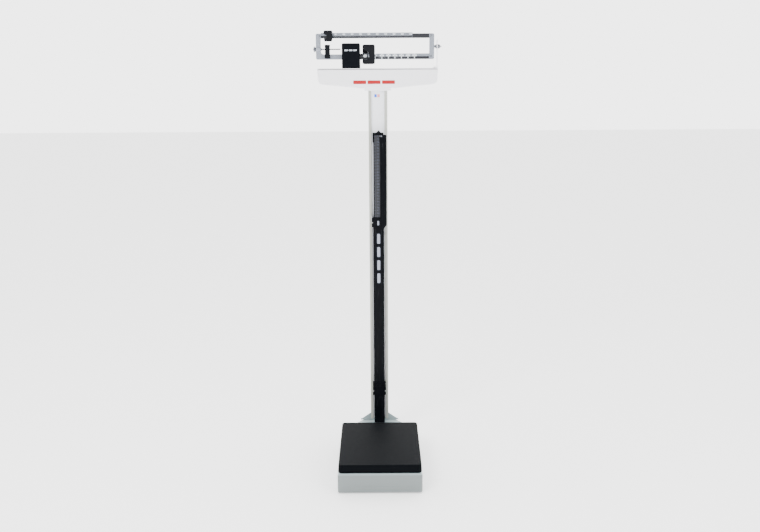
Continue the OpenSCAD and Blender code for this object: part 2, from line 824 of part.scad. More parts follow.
module fractional_poise() {
    left = -177;
    right = -148.4;
    tip = -165.5;
    low = upper_bar_z - gap;
    color(poise_grey) difference() {
        front_view(column_y - 13, column_y + 13) polygon(concat(
            arc(right - 4, 1424.8 - 4, 4, 0, 90), arc(left + 4, 1424.8 - 4, 4, 90, 180),
            [[left + 2.5, 1389.9], [right - 2.5, 1389.9]]));
        box(left - over, right + over, bar_front - gap, bar_back + gap, low, upper_bar_top + 3);
        front_view(column_y - 14, bar_front) polygon([
            [left - over, 1413.5], [tip - 3, 1410], [tip, 1406.5], [tip - 3, low], [left - over, low]]);
    }
}

module poise_spring() {
    x = -160;
    seat = upper_bar_top + 3;
    color(steel) front_view(bar_front + 1, bar_back - 1) polygon([
        [x - 9, seat], [x - 9, seat - 0.6], [x, upper_bar_top + gap], [x + 9, seat - 0.6], [x + 9, seat],
        [x, upper_bar_top + gap + 0.8]]);
}

// --- height rod ---

module outer_rod_case() {
    color(gloss_black) tube(case_w, case_d, rod_y, case_z, case_top, rod_wall);
}

// the bracket's screws, one on each side of the case at z
module bracket_screw_places() {
    for (z = [186.7, 791.5]) for (x = [-screw_x, screw_x]) translate([x, 0, z]) children();
}

module bracket_screw_holes() {
    bracket_screw_places() rod_y(bracket_front - over, column_front + over, 0, 0, 1.4);
}

module bracket_band(z0, z1) {
    box(-bracket_half, bracket_half, bracket_front, column_front, z0, z1);
}

module upper_rod_bracket() {
    z0 = 775.5;
    z1 = 808.5;
    lip_half = middle_w / 2 + gap;
    color(gloss_black) difference() {
        bracket_band(z0, z1);
        box(-case_w / 2, case_w / 2, case_front, case_back, z0 - over, case_top);
        box(-lip_half, lip_half, rod_y - middle_d / 2 - gap, rod_y + middle_d / 2 + gap, case_top - over, z1 + over);
        bracket_screw_holes();
    }
}

module lower_rod_bracket() {
    z0 = 172;
    z1 = 201.8;
    ear_top = 217.5;
    color(gloss_black) difference() {
        union() {
            bracket_band(z0, z1);
            both_sides() box(case_w / 2, bracket_half, case_front, case_back, z1, ear_top);
            box(-bracket_half, bracket_half, bracket_front, case_front, ear_top - 7, ear_top);
        }
        box(-case_w / 2, case_w / 2, case_front, case_back, z0 - over, ear_top + over);
        bracket_screw_holes();
    }
}

module bracket_screws() {
    color(steel) bracket_screw_places() {
        rod_y(bracket_front, column_front, 0, 0, 1.4);
        rod_y(bracket_front - 1, bracket_front, 0, 0, 2.3);
    }
}

// a leaf that presses on the middle rod's left side
module rod_friction_spring() {
    inner = -middle_w / 2 - gap;
    color(steel) {
        box(-24.6, -23.2, rod_y - 4, rod_y + 2, 793.5, 816.2);
        box(-24.6, inner - 1.5, rod_y - 4, rod_y + 2, 809.5, 810.5);
        box(inner - 1.5, inner - 0.5, rod_y - 4, rod_y + 2, 808.7, 812.5);
    }
}

module middle_rod() {
    color(gloss_black) tube(middle_w, middle_d, rod_y, middle_bottom, middle_top, rod_wall);
}

module scale_rod() {
    color(gloss_black) tube(scale_w, scale_d, rod_y, scale_bottom, head_top - 4, rod_wall);
}

module rod_head() {
    half = 18.4;
    knuckle_r = 4.2;
    knuckle_left = arm_left + arm_sheet + 0.5;
    knuckle_right = arm_left + arm_w - arm_sheet - 0.5;
    color(gloss_black) difference() {
        union() {
            box(-half, half, head_front, head_back, head_bottom, head_top);
            front_view(head_front, head_back)
                polygon([[-5, head_top], [8, head_top], [3.5, head_top + 7], [0.5, head_top + 7]]);
            side_view(knuckle_left, knuckle_right) polygon([
                [hinge_y, hinge_z - knuckle_r], [head_front, hinge_z - knuckle_r], [head_front, hinge_z + knuckle_r],
                [hinge_y, hinge_z + knuckle_r]]);
            rod_x(knuckle_left, knuckle_right, hinge_y, hinge_z, knuckle_r);
        }
        box(-scale_w / 2, scale_w / 2, rod_y - scale_d / 2, rod_y + scale_d / 2, head_bottom - over, head_top - 4);
        // window over the graduations
        box(-scale_w / 2, 4.5, head_front - over, rod_y, head_bottom - over, head_top - 7);
        rod_x(knuckle_left - over, knuckle_right + over, hinge_y, hinge_z, pin_r);
    }
}

module hinge_pin() {
    left = arm_left - gap;
    right = arm_left + arm_w + gap;
    color(steel) {
        rod_x(left, right, hinge_y, hinge_z, pin_r);
        rod_x(left - 1.2, left, hinge_y, hinge_z, 2.6);
        rod_x(right, right + 1.2, hinge_y, hinge_z, 2.6);
    }
}

module measuring_arm() {
    tip = hinge_z - arm_len;
    right = arm_left + arm_w;
    top = hinge_z + 3.5;
    back = hinge_y + 3.5;
    color(gloss_black) difference() {
        union() {
            front_view(arm_front, arm_front + arm_sheet) polygon([
                [arm_left, tip + 4], [arm_left + 2, tip], [right - 10, tip], [right, tip + 12],
                [right, top], [arm_left, top]]);
            for (x = [arm_left, right - arm_sheet]) side_view(x, x + arm_sheet) polygon([
                [arm_front, tip + 12], [arm_front + 5, tip + 14], [back, hinge_z - 40], [back, hinge_z + 2],
                [hinge_y + 1.5, hinge_z + 4], [arm_front, top]]);
        }
        rod_x(arm_left - over, right + over, hinge_y, hinge_z, pin_r + running);
        rod_y(arm_front - over, arm_front + arm_sheet + over, 11, hinge_z, 1.5);
    }
}

module arm_rivet() {
    color(steel) {
        rod_y(arm_front - 1, arm_front, 11, hinge_z, 2.8);
        rod_y(arm_front, arm_front + arm_sheet, 11, hinge_z, 1.5);
    }
}

base_housing();
base_pan();
base_feet();
lever_stands();
column_foot();
foot_bolts();
column();
front_label();
beam_shelf();
shelf_screws();
shelf_lever_stand();
fulcrum_stand();
fulcrum_bearings();
fulcrum_cover();
trig_loop();
shelf_top_screws();
outer_rod_case();
upper_rod_bracket();
lower_rod_bracket();
bracket_screws();
rod_friction_spring();
platform_plate();
platform_cover();
platform_shoes();
long_lever();
long_lever_pivots();
nose_iron();
short_lever();
short_lever_pivots();
lever_stirrup();
steelyard_rod();
shelf_lever();
shelf_lever_pivots();
beam_link();
beam_frame();
beam_end();
main_bar();
fractional_bar();
beam_rivets();
fulcrum_pivot();
load_pivot();
pointer();
balance_rod();
balance_knob();
balance_weight();
main_poise();
poise_pawl();
fractional_poise();
poise_spring();
middle_rod();
scale_rod();
rod_head();
hinge_pin();
measuring_arm();
arm_rivet();
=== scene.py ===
"""The looks of an upright weigh-beam scale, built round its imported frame. Lengths are in millimetres until a
mesh is made, and every mesh is in metres in the frame's own place."""
import json
import math

import bmesh
import bpy
from mathutils import Matrix, Vector

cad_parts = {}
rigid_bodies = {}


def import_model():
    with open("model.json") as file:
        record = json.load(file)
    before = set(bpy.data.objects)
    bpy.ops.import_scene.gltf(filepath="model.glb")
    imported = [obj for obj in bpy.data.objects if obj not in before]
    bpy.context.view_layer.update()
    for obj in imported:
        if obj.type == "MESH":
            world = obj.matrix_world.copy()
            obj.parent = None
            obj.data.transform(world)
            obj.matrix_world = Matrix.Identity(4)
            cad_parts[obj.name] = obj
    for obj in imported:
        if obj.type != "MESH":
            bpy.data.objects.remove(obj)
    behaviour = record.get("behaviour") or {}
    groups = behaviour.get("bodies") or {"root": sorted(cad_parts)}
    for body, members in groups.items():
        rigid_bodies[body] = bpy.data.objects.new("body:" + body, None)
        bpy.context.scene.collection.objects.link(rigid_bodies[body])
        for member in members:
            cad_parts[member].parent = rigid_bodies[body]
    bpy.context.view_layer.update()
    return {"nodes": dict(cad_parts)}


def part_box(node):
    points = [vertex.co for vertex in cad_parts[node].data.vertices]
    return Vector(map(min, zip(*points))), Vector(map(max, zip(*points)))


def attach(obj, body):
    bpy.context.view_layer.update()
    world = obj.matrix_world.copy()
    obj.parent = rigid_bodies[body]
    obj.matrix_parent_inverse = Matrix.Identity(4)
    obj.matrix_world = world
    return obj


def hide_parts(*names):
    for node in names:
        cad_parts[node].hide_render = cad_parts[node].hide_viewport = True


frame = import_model()
MM = 0.001
scene = bpy.context.scene

# Lines and planes that several pieces share, in millimetres.
BASE_DEPTH = 356
BEAM_Y, BALANCE_Z = 206.5, 1364.5
CASTING_FRONT, CASTING_BACK = 202.5, 210.5
BAR_FRONT, BAR_BACK = 203.5, 209.5
LOW_BAR, LOW_BAR_TOP = 1331.5, 1348
HIGH_BAR, HIGH_BAR_TOP = 1399.4, 1414.4
NOTCH, NOTCHES, FIRST_NOTCH = 21.6, 8, -29
TUBE_WALL = 0.8
HINGE_Y, HINGE_Z = 152.3, 1083.5


def place(node):
    """A CAD node's lowest and highest corners in millimetres."""
    low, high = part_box(node)
    return Vector(low) / MM, Vector(high) / MM


def metres(*lengths):
    return [length * MM for length in lengths]


def radians(degrees):
    return [math.radians(angle) for angle in degrees]


def add_object(name, data):
    """A new object in the scene."""
    made = bpy.data.objects.new(name, data)
    scene.collection.objects.link(made)
    return made


# ---------------------------------------------------------------- camera, floor and light

def set_camera():
    """The eye stands in front of the scale, near the height of its beam, and looks down a little."""
    data = bpy.data.cameras.new("eye")
    data.sensor_width = 36
    data.lens = 42.48
    data.clip_end = 50
    camera = add_object("eye", data)
    camera.location = (-0.0016, -2.8417, 1.3215)
    yaw, pitch, roll = radians((-0.11, -12.79, -0.3155))
    turn = (Matrix.Rotation(yaw, 4, "Z") @ Matrix.Rotation(math.pi / 2 + pitch, 4, "X")
            @ Matrix.Rotation(roll, 4, "Z"))
    camera.rotation_euler = turn.to_euler()
    scene.camera = camera


def area_light(name, at, aim, size, power):
    data = bpy.data.lights.new(name, "AREA")
    data.shape = "DISK"
    data.size = size
    data.energy = power
    lamp = add_object(name, data)
    lamp.location = at
    lamp.rotation_euler = (Vector(aim) - Vector(at)).to_track_quat("-Z", "Y").to_euler()


def set_light():
    """A bright room behind and above the scale and a darker one behind the eye, with soft lamps in front."""
    world = bpy.data.worlds.new("studio")
    world.use_nodes = True
    sky = Nodes(world.node_tree)
    background = world.node_tree.nodes["Background"]
    background.inputs["Color"].default_value = (1, 1, 1, 1)
    toward = sky.node("ShaderNodeTexCoord", {}, "Generated")
    back = sky.node("ShaderNodeSeparateXYZ", {0: toward}, "Y")
    sky.link(background.inputs["Strength"], sky.step(back, -0.9, 0.6, 0.6, 4.2))
    scene.world = world
    area_light("key", (-1.7, -2.6, 3.1), (0, 0, 0.9), 1.6, 150)
    area_light("fill", (2.2, -2.4, 1.6), (0, 0, 0.9), 1.8, 60)


# ---------------------------------------------------------------- materials

def tone(red, green, blue):
    """A screen colour from 0 to 255 as the linear colour that a shader takes."""
    def linear(v):
        v /= 255
        return v / 12.92 if v <= 0.04045 else ((v + 0.055) / 1.055) ** 2.4
    return (linear(red), linear(green), linear(blue), 1.0)


class Value:
    """A number, vector, colour or geometry on its way through a node tree."""

    def __init__(self, nodes, socket):
        self.nodes, self.socket = nodes, socket

    def math(self, operation, *others):
        return self.nodes.node("ShaderNodeMath", dict(enumerate((self, *others))), operation=operation)

    def __add__(self, other):
        return self.math("ADD", other)

    def __sub__(self, other):
        return self.math("SUBTRACT", other)

    def __rsub__(self, other):
        return self.nodes.node("ShaderNodeMath", {0: other, 1: self}, operation="SUBTRACT")

    def __mul__(self, other):
        return self.math("MULTIPLY", other)


class Nodes:
    """A node tree and the method that adds any node to it."""

    def __init__(self, tree):
        self.tree = tree

    def link(self, socket, value):
        if isinstance(value, Value):
            self.tree.links.new(value.socket, socket)
        else:
            socket.default_value = value

    def node(self, kind, values, output=0, **settings):
        made = self.tree.nodes.new(kind)
        for name, value in settings.items():
            setattr(made, name, value)
        for name, value in values.items():
            self.link(made.inputs[name], value)
        return Value(self, made.outputs[output])

    def step(self, value, low, high, bottom=0.0, top=1.0):
        """A smooth rise from bottom to top as value goes from low to high."""
        values = {"Value": value, 1: low, 2: high, 3: bottom, 4: top}
        return self.node("ShaderNodeMapRange", values, interpolation_type="SMOOTHSTEP")


class Finish(Nodes):
    """One material and its shader."""

    def __init__(self, name, **sockets):
        self.material = bpy.data.materials.new(name)
        self.material.use_nodes = True
        super().__init__(self.material.node_tree)
        self.shader = self.tree.nodes["Principled BSDF"]
        self.set(**sockets)

    def set(self, **sockets):
        for name, value in sockets.items():
            self.link(self.shader.inputs[name.replace("_", " ")], value)
        return self

    def spot(self):
        return self.node("ShaderNodeTexCoord", {}, "Object")

    def axis(self, name):
        return self.node("ShaderNodeSeparateXYZ", {0: self.spot()}, name)

    def stretched(self, *scale):
        return self.node("ShaderNodeMapping", {"Vector": self.spot(), "Scale": scale})

    def noise(self, scale, detail=3.0, roughness=0.55, where=None):
        values = {"Vector": where or self.spot(), "Scale": scale, "Detail": detail, "Roughness": roughness}
        return self.node("ShaderNodeTexNoise", values, "Fac")

    def cells(self, scale, feature="F1"):
        return self.node("ShaderNodeTexVoronoi", {"Vector": self.spot(), "Scale": scale}, "Distance",
                         feature=feature)

    def blend(self, share, first, second):
        return self.node("ShaderNodeMix", {0: share, 6: first, 7: second}, 2, data_type="RGBA")

    def mottled(self, share, colour, darker, lighter):
        return self.blend(share, scaled(colour, darker), scaled(colour, lighter))

    def relief(self, height, depth_mm, strength=1.0, under=None):
        """Turns a height from 0 to 1 into a normal; under is a normal that it lies on."""
        values = {"Height": height, "Distance": depth_mm * MM, "Strength": strength}
        if under:
            values["Normal"] = under
        return self.node("ShaderNodeBump", values)


def scaled(colour, factor):
    return (*[min(1.0, part * factor) for part in colour[:3]], 1.0)


def enamel(name, colour=None, roughness=0.32, grime=0.35):
    """Baked enamel: orange peel, faint clouding and duller, darker patches where hands and dust reach. The
    caller sets the colour if it gives none here."""
    paint = Finish(name, Coat_Weight=0.25, Coat_Roughness=0.12)
    cloud = paint.noise(9, 4)
    dirt = paint.step(paint.noise(34, 6, 0.65), 0.56, 0.78) * grime
    if colour:
        body = paint.mottled(cloud, colour, 0.965, 1.02)
        paint.set(Base_Color=paint.blend(dirt, body, scaled(colour, 0.86)))
    paint.set(Roughness=paint.step(cloud, 0.3, 0.7, roughness - 0.05, roughness + 0.07) + dirt * 0.12)
    peel = paint.relief(paint.noise(620, 2), 0.012, 0.5)
    return paint.set(Normal=paint.relief(paint.noise(70, 2), 0.03, 0.25, peel))


def base_paint():
    """The base's cool grey enamel, with a painted highlight along its top fold where the rounded lip faces the
    light.
    """
    paint = enamel("base_enamel", roughness=0.38)
    # fold masks the rounded top lip; the lighter tone blended in there below is a painted highlight.
    fold = paint.step(paint.axis("Z"), 0.0595, 0.0655)
    body = paint.blend(paint.noise(9, 4), tone(104, 112, 112), tone(112, 120, 120))
    return paint.set(Base_Color=paint.blend(fold, body, tone(142, 156, 158)))


def column_enamel():
    """The column's enamel: warm grey on the flanges and cooler, lighter down the recess."""
    paint = enamel("column_enamel")
    depth = paint.step(paint.axis("Y"), 0.1890, 0.1945)
    across = paint.axis("X").math("ABSOLUTE")
    inside = depth * (1 - paint.step(across, 0.0212, 0.0222))
    cloud = paint.noise(9, 4)
    flange = paint.blend(cloud, tone(164, 166, 159), tone(174, 176, 169))
    web = paint.blend(cloud, tone(238, 240, 246), tone(246, 247, 252))
    return paint.set(Base_Color=paint.blend(inside, flange, web))


def black_metal(name, colour, roughness=0.36):
    """Satin black enamel on sliding metal: long faint rub marks that thin the paint's shine."""
    paint = Finish(name, Specular_IOR_Level=0.06)
    rub = paint.step(paint.noise(60, 5, 0.6, paint.stretched(14, 14, 0.5)), 0.60, 0.74)
    cloud = paint.noise(14, 3)
    body = paint.mottled(cloud, colour, 0.85, 1.2)
    paint.set(Base_Color=paint.blend(rub * 0.16, body, tone(120, 124, 130)))
    paint.set(Roughness=paint.step(cloud, 0.3, 0.7, roughness - 0.05, roughness + 0.08) - rub * 0.1)
    return paint.set(Normal=paint.relief(paint.noise(700, 2), 0.01, 0.6))


def moulded(name, colour, roughness=0.42, grain_mm=0.03, grain=260, shine=0.3):
    """Moulded plastic or rubber with a fine leathery grain."""
    paint = Finish(name, Specular_IOR_Level=shine)
    pebble = paint.cells(grain, "SMOOTH_F1")
    cloud = paint.noise(7, 4)
    scuff = paint.step(paint.noise(90, 6, 0.7), 0.60, 0.74)
    body = paint.mottled(cloud, colour, 0.86, 1.14)
    paint.set(Base_Color=paint.blend(scuff * 0.10, body, scaled(colour, 2.2)))
    paint.set(Roughness=paint.step(pebble, 0.1, 0.7, roughness + 0.06, roughness - 0.05) + scuff * 0.08)
    skin = paint.relief(paint.noise(900, 2), 0.008, 0.5)
    return paint.set(Normal=paint.relief(pebble, grain_mm, 0.7, skin))


def cast_silver(name, colour, roughness=0.4):
    """Die-cast alloy under silver lacquer: fine metallic fleck and soft casting ripple."""
    paint = Finish(name, Metallic=0.55, Coat_Weight=0.3, Coat_Roughness=0.22)
    fleck = paint.cells(1400)
    cloud = paint.noise(16, 4)
    body = paint.mottled(cloud, colour, 0.93, 1.05)
    paint.set(Base_Color=paint.blend(paint.step(fleck, 0.15, 0.6), body, scaled(colour, 0.88)))
    paint.set(Roughness=paint.step(cloud, 0.3, 0.7, roughness - 0.06, roughness + 0.08))
    return paint.set(Normal=paint.relief(paint.noise(120, 3), 0.02, 0.5, paint.relief(fleck, 0.006, 0.5)))


def steel(name, colour, roughness=0.3, grind=(3, 90, 90)):
    """Bare ground or plated steel with fine tool marks that run along one axis."""
    metal = Finish(name, Metallic=1.0)
    marks = metal.noise(22, 5, 0.6, metal.stretched(*grind))
    haze = metal.noise(40, 5, 0.6)
    metal.set(Base_Color=metal.mottled(haze, colour, 0.82, 1.08))
    metal.set(Roughness=metal.step(marks, 0.3, 0.7, roughness - 0.08, roughness + 0.12))
    return metal.set(Normal=metal.relief(marks, 0.008, 0.7))


def cast_iron(name, colour):
    """Painted cast iron with a coarse sand-cast skin."""
    paint = Finish(name, Coat_Weight=0.1)
    sand = paint.noise(260, 6, 0.65)
    cloud = paint.noise(20, 4)
    body = paint.mottled(cloud, colour, 0.8, 1.12)
    paint.set(Base_Color=paint.blend(paint.step(sand, 0.55, 0.75) * 0.5, body, scaled(colour, 0.6)))
    paint.set(Roughness=paint.step(cloud, 0.3, 0.7, 0.52, 0.7))
    return paint.set(Normal=paint.relief(sand, 0.16, 0.8))


def ink(name, colour, roughness=0.45):
    """Printing ink or baked marking paint, a little uneven in cover."""
    paint = Finish(name)
    thin = paint.step(paint.noise(380, 4, 0.6), 0.45, 0.8)
    paint.set(Base_Color=paint.blend(thin * 0.5, colour, scaled(colour, 0.8)))
    paint.set(Roughness=paint.step(thin, 0.0, 1.0, roughness - 0.04, roughness + 0.1))
    return paint.set(Normal=paint.relief(thin, 0.006, 0.4))


def floor_surface():
    """A pale, even studio floor."""
    paint = Finish("studio_floor", Roughness=0.75, Emission_Color=(1, 1, 1, 1), Emission_Strength=0.55)
    return paint.set(Base_Color=paint.blend(paint.noise(3, 3), (0.93, 0.93, 0.93, 1), (0.96, 0.96, 0.96, 1)))


base_enamel = base_paint()
column_paint = column_enamel()
shelf_enamel = enamel("shelf_enamel", tone(246, 246, 250), 0.3, grime=0.15)
cover_black = moulded("cover_black", tone(4, 6, 11), 0.34, 0.015, 420, 0.08)
rod_black = black_metal("rod_black", tone(3, 4, 8))
scale_black = black_metal("scale_black", tone(3, 4, 8), 0.42)
mat_rubber = moulded("mat_rubber", tone(5, 7, 10), 0.6, 0.05, 340, 0.03)
foot_rubber = moulded("foot_rubber", tone(22, 22, 24), 0.7, 0.06, 260, 0.2)
beam_silver = cast_silver("beam_silver", tone(144, 150, 161))
bar_silver = cast_silver("bar_silver", tone(138, 144, 155), 0.36)
poise_satin = moulded("poise_satin", tone(15, 16, 20), 0.46, 0.025, 500, 0.1)
weight_black = moulded("weight_black", tone(10, 12, 17), 0.4, 0.02, 500, 0.1)
plated = steel("plated", tone(108, 111, 118), 0.3)
thread_steel = steel("thread_steel", tone(50, 52, 57), 0.4)
zinc = steel("zinc", tone(150, 152, 152), 0.38, (40, 40, 40))
bearing_steel = steel("bearing_steel", tone(170, 172, 176), 0.3)
stand_steel = steel("stand_steel", tone(160, 163, 166), 0.42, (30, 30, 3))
lever_iron = cast_iron("lever_iron", tone(150, 154, 152))
band_ink = ink("band_ink", tone(10, 13, 22), 0.45)
pale_ink = ink("pale_ink", tone(222, 228, 234))
soft_ink = ink("soft_ink", tone(140, 145, 160))
bar_ink = ink("bar_ink", tone(170, 177, 186))
rod_ink = ink("rod_ink", tone(68, 73, 90))
panel_ink = ink("panel_ink", tone(12, 14, 22))
red_ink = ink("red_ink", tone(160, 4, 14), 0.35)
blue_ink = ink("blue_ink", tone(30, 92, 216), 0.3)
pink_ink = ink("pink_ink", tone(228, 140, 140), 0.3)
label_white = ink("label_white", tone(238, 238, 240), 0.3)


# ---------------------------------------------------------------- outlines

def arc(x, y, radius, start, end, steps=6):
    turns = radians(start + (end - start) * i / steps for i in range(steps + 1))
    return [(x + radius * math.cos(a), y + radius * math.sin(a)) for a in turns]


def rounded(x0, x1, y0, y1, radius, steps=6):
    """A rectangle with round corners, anticlockwise."""
    r = radius
    return (arc(x1 - r, y1 - r, r, 0, 90, steps) + arc(x0 + r, y1 - r, r, 90, 180, steps)
            + arc(x0 + r, y0 + r, r, 180, 270, steps) + arc(x1 - r, y0 + r, r, 270, 360, steps))


def softened(points, radius, steps=4):
    """An outline whose corners are rounded; radius is one number or one for each corner."""
    radii = radius if isinstance(radius, (list, tuple)) else [radius] * len(points)
    found = []
    for i, (point, r) in enumerate(zip(points, radii)):
        here = Vector(point)
        before = (Vector(points[i - 1]) - here).normalized()
        after = (Vector(points[(i + 1) % len(points)]) - here).normalized()
        half = before.angle(after) / 2
        if r == 0 or abs(math.pi / 2 - half) < 0.02:
            found.append(tuple(here))
            continue
        reach = r / math.tan(half)
        centre = here + (before + after).normalized() * r / math.sin(half)
        start, end = here + before * reach - centre, here + after * reach - centre
        turn = start.angle_signed(end)
        for k in range(steps + 1):
            found.append(tuple(centre + Matrix.Rotation(-turn * k / steps, 2) @ start))
    return found


def inset(outline, distance):
    """The outline moved inwards; it runs anticlockwise."""
    found = []
    count = len(outline)
    for i in range(count):
        here = Vector(outline[i])
        before = (here - Vector(outline[i - 1])).normalized()
        after = (Vector(outline[(i + 1) % count]) - here).normalized()
        left_before, left_after = Vector((-before.y, before.x)), Vector((-after.y, after.x))
        share = 1 + left_before.dot(left_after)
        found.append(tuple(here + (left_before + left_after) * distance / max(share, 0.3)))
    return found


# ---------------------------------------------------------------- meshes

TO_3D = {
    "x": lambda u, v, w: (w, u, v),
    "y": lambda u, v, w: (u, w, v),
    "z": lambda u, v, w: (u, v, w),
}


class Shape:
    """A mesh in the making, in millimetres."""

    def __init__(self):
        self.bm = bmesh.new()

    def loop(self, points):
        return [self.bm.verts.new(point) for point in points]

    def strip(self, first, second):
        count = len(first)
        for i in range(count):
            j = (i + 1) % count
            self.bm.faces.new((first[i], first[j], second[j], second[i]))

    def join(self, loops):
        for first, second in zip(loops, loops[1:]):
            self.strip(first, second)

    def wall(self, outline, profile):
        """Joined loops of an outline seen from above, one for each pair of distance inside it and height."""
        loops = [self.loop([(x, y, z) for x, y in inset(outline, step)]) for step, z in profile]
        self.join(loops)
        return loops

    def skin(self, rings, ring_shaped=False):
        """Joins rings of points into a closed skin, capped, or with its ends joined if it is ring-shaped."""
        loops = [self.loop(ring) for ring in rings]
        self.join(loops)
        if ring_shaped:
            self.strip(loops[-1], loops[0])
        else:
            self.bm.faces.new(loops[0])
            self.bm.faces.new(loops[-1])
        return self

    def slab(self, outline, low, high, axis, edge=0.5, steps=3, hole=None):
        """A plate of that outline from low to high along an axis, with its edges rounded. A hole's outline
        has as many points as the plate's."""
        to_3d = TO_3D[axis]
        turns = [math.pi / 2 * k / steps for k in range(steps + 1)]
        near = [(low + edge * (1 - math.cos(a)), edge * (1 - math.sin(a))) for a in turns]
        far = [(low + high - depth, step) for depth, step in reversed(near)]
        rings = [[to_3d(u, v, depth) for u, v in inset(outline, step)] for depth, step in near + far]
        if hole:
            back = reversed(near + far)
            rings += [[to_3d(u, v, depth) for u, v in inset(hole, -step)] for depth, step in back]
        return self.skin(rings, ring_shaped=bool(hole))

    def patch(self, outline, face, proud, sunk, edge, steps=1, hole=None):
        """A thin plate that stands proud of a front face and is sunk a little into it."""
        return self.slab(outline, face - proud, face + sunk, "y", edge, steps, hole)

    def lathe(self, profile, centre, axis, sides=48):
        """Turns a profile of (along, radius) about an axis through centre, which has the other two values."""
        to_3d = TO_3D[axis]
        u, v = centre
        turns = [2 * math.pi * k / sides for k in range(sides)]
        return self.skin([[to_3d(u + r * math.cos(a), v + r * math.sin(a), along) for a in turns]
                          for along, r in profile])

    def block(self, x0, x1, y0, y1, z0, z1, edge=0.4):
        return self.slab([(x0, y0), (x1, y0), (x1, y1), (x0, y1)], z0, z1, "z", edge)

    def fill(self, *loops):
        """Fills the space between loops with triangles."""
        edges = []
        for loop in loops:
            for i, vert in enumerate(loop):
                pair = (loop[i - 1], vert)
                edges.append(self.bm.edges.get(pair) or self.bm.edges.new(pair))
        bmesh.ops.triangle_fill(self.bm, use_beauty=True, use_dissolve=False, edges=edges)

    def add(self, mesh):
        self.bm.from_mesh(mesh)
        bpy.data.meshes.remove(mesh)
        return self

    def mesh(self, name):
        """The shape as a clean mesh in metres, which uses the shape up."""
        bm = self.bm
        bmesh.ops.remove_doubles(bm, verts=bm.verts, dist=1e-4)
        bmesh.ops.dissolve_degenerate(bm, edges=bm.edges, dist=1e-5)
        bmesh.ops.recalc_face_normals(bm, faces=bm.faces)
        bmesh.ops.scale(bm, vec=(MM, MM, MM), verts=bm.verts)
        mesh = bpy.data.meshes.new(name)
        bm.to_mesh(mesh)
        bm.free()
        return mesh


def settle(piece):
    """Turns the piece's modifiers into its plain mesh."""
    graph = bpy.context.evaluated_depsgraph_get()
    mesh = bpy.data.meshes.new_from_object(piece.evaluated_get(graph))
    piece.modifiers.clear()
    piece.data = mesh


def finish_piece(piece, body, replaced):
    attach(piece, body)
    if replaced:
        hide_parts(*replaced)
    return piece


def shade(mesh, smooth):
    """Smooth shading, with a sharp edge wherever two faces meet at more than that many degrees."""
    mesh.shade_smooth()
    mesh.set_sharp_from_angle(angle=math.radians(smooth))


def make(name, shape, finish, body, replaced=(), smooth=40):
    """Turns a shape into a finished piece of the object. Weighted normals keep its big flat faces flat."""
    mesh = shape.mesh(name)
    shade(mesh, smooth)
    mesh.materials.append(finish.material)
    piece = add_object(name, mesh)
    weigh = piece.modifiers.new("weigh", "WEIGHTED_NORMAL")
    weigh.keep_sharp = True
    weigh.weight = 80
    settle(piece)
    return finish_piece(piece, body, replaced)


def number_plates(numbers, least, per_digit, half_height, radius, face, proud, edge):
    """The pale panels that numbers are printed on, each as wide as its number needs."""
    shape = Shape()
    for words, x, z in numbers:
        half = least + per_digit * len(words)
        plate = rounded(x - half, x + half, z - half_height, z + half_height, radius, 3)
        shape.patch(plate, face, proud, 0.3, edge)
    return shape


def lettering(numbers, size, depth, middle):
    """A shape of numbers that face the front: each is (words, x, z), and middle is the y of them all."""
    shape = Shape()
    for words, x, z in numbers:
        curve = bpy.data.curves.new("digits", "FONT")
        curve.body = words
        curve.size = size
        curve.extrude = depth / 2
        curve.resolution_u = 2
        curve.align_x, curve.align_y = "CENTER", "CENTER"
        holder = add_object("digits", curve)
        graph = bpy.context.evaluated_depsgraph_get()
        graph.update()
        mesh = bpy.data.meshes.new_from_object(holder.evaluated_get(graph))
        mesh.transform(Matrix.Translation((x, middle, z)) @ Matrix.Rotation(math.pi / 2, 4, "X"))
        bpy.data.objects.remove(holder)
        bpy.data.curves.remove(curve)
        shape.add(mesh)
    return shape


# ---------------------------------------------------------------- what repeats

class Tree(Nodes):
    """A Geometry Nodes tree that takes geometry, a finish and other named inputs."""

    def __init__(self, name, **inputs):
        super().__init__(bpy.data.node_groups.new(name, "GeometryNodeTree"))
        face = self.tree.interface
        self.ids = {}
        for title, kind in {"Geometry": "Geometry", **inputs, "Finish": "Material"}.items():
            socket = face.new_socket(title, in_out="INPUT", socket_type="NodeSocket" + kind)
            self.ids[title] = socket.identifier
        face.new_socket("Geometry", in_out="OUTPUT", socket_type="NodeSocketGeometry")
        self.input = self.tree.nodes.new("NodeGroupInput")

    def take(self, title):
        return Value(self, self.input.outputs[title])

    def close(self, geometry):
        """Ends the tree with real geometry that has its material."""
        solid = self.node("GeometryNodeRealizeInstances", {"Geometry": geometry})
        painted = self.node("GeometryNodeSetMaterial", {"Geometry": solid, "Material": self.take("Finish")})
        self.link(self.tree.nodes.new("NodeGroupOutput").inputs["Geometry"], painted)
        return self

    def grow(self, name, finish, body, slot, replaced=(), points=(), smooth=40, **inputs):
        """Runs the tree with these inputs and keeps the result as a plain finished piece."""
        mesh = bpy.data.meshes.new(name)
        mesh.from_pydata([metres(*point) for point in points], [], [])
        piece = add_object(name, mesh)
        run = piece.modifiers.new("run", "NODES")
        run.node_group = self.tree
        run[self.ids["Finish"]] = finish.material
        for title, value in inputs.items():
            run[self.ids[title]] = value
        settle(piece)
        shade(piece.data, smooth)
        return finish_piece(piece, body, replaced)


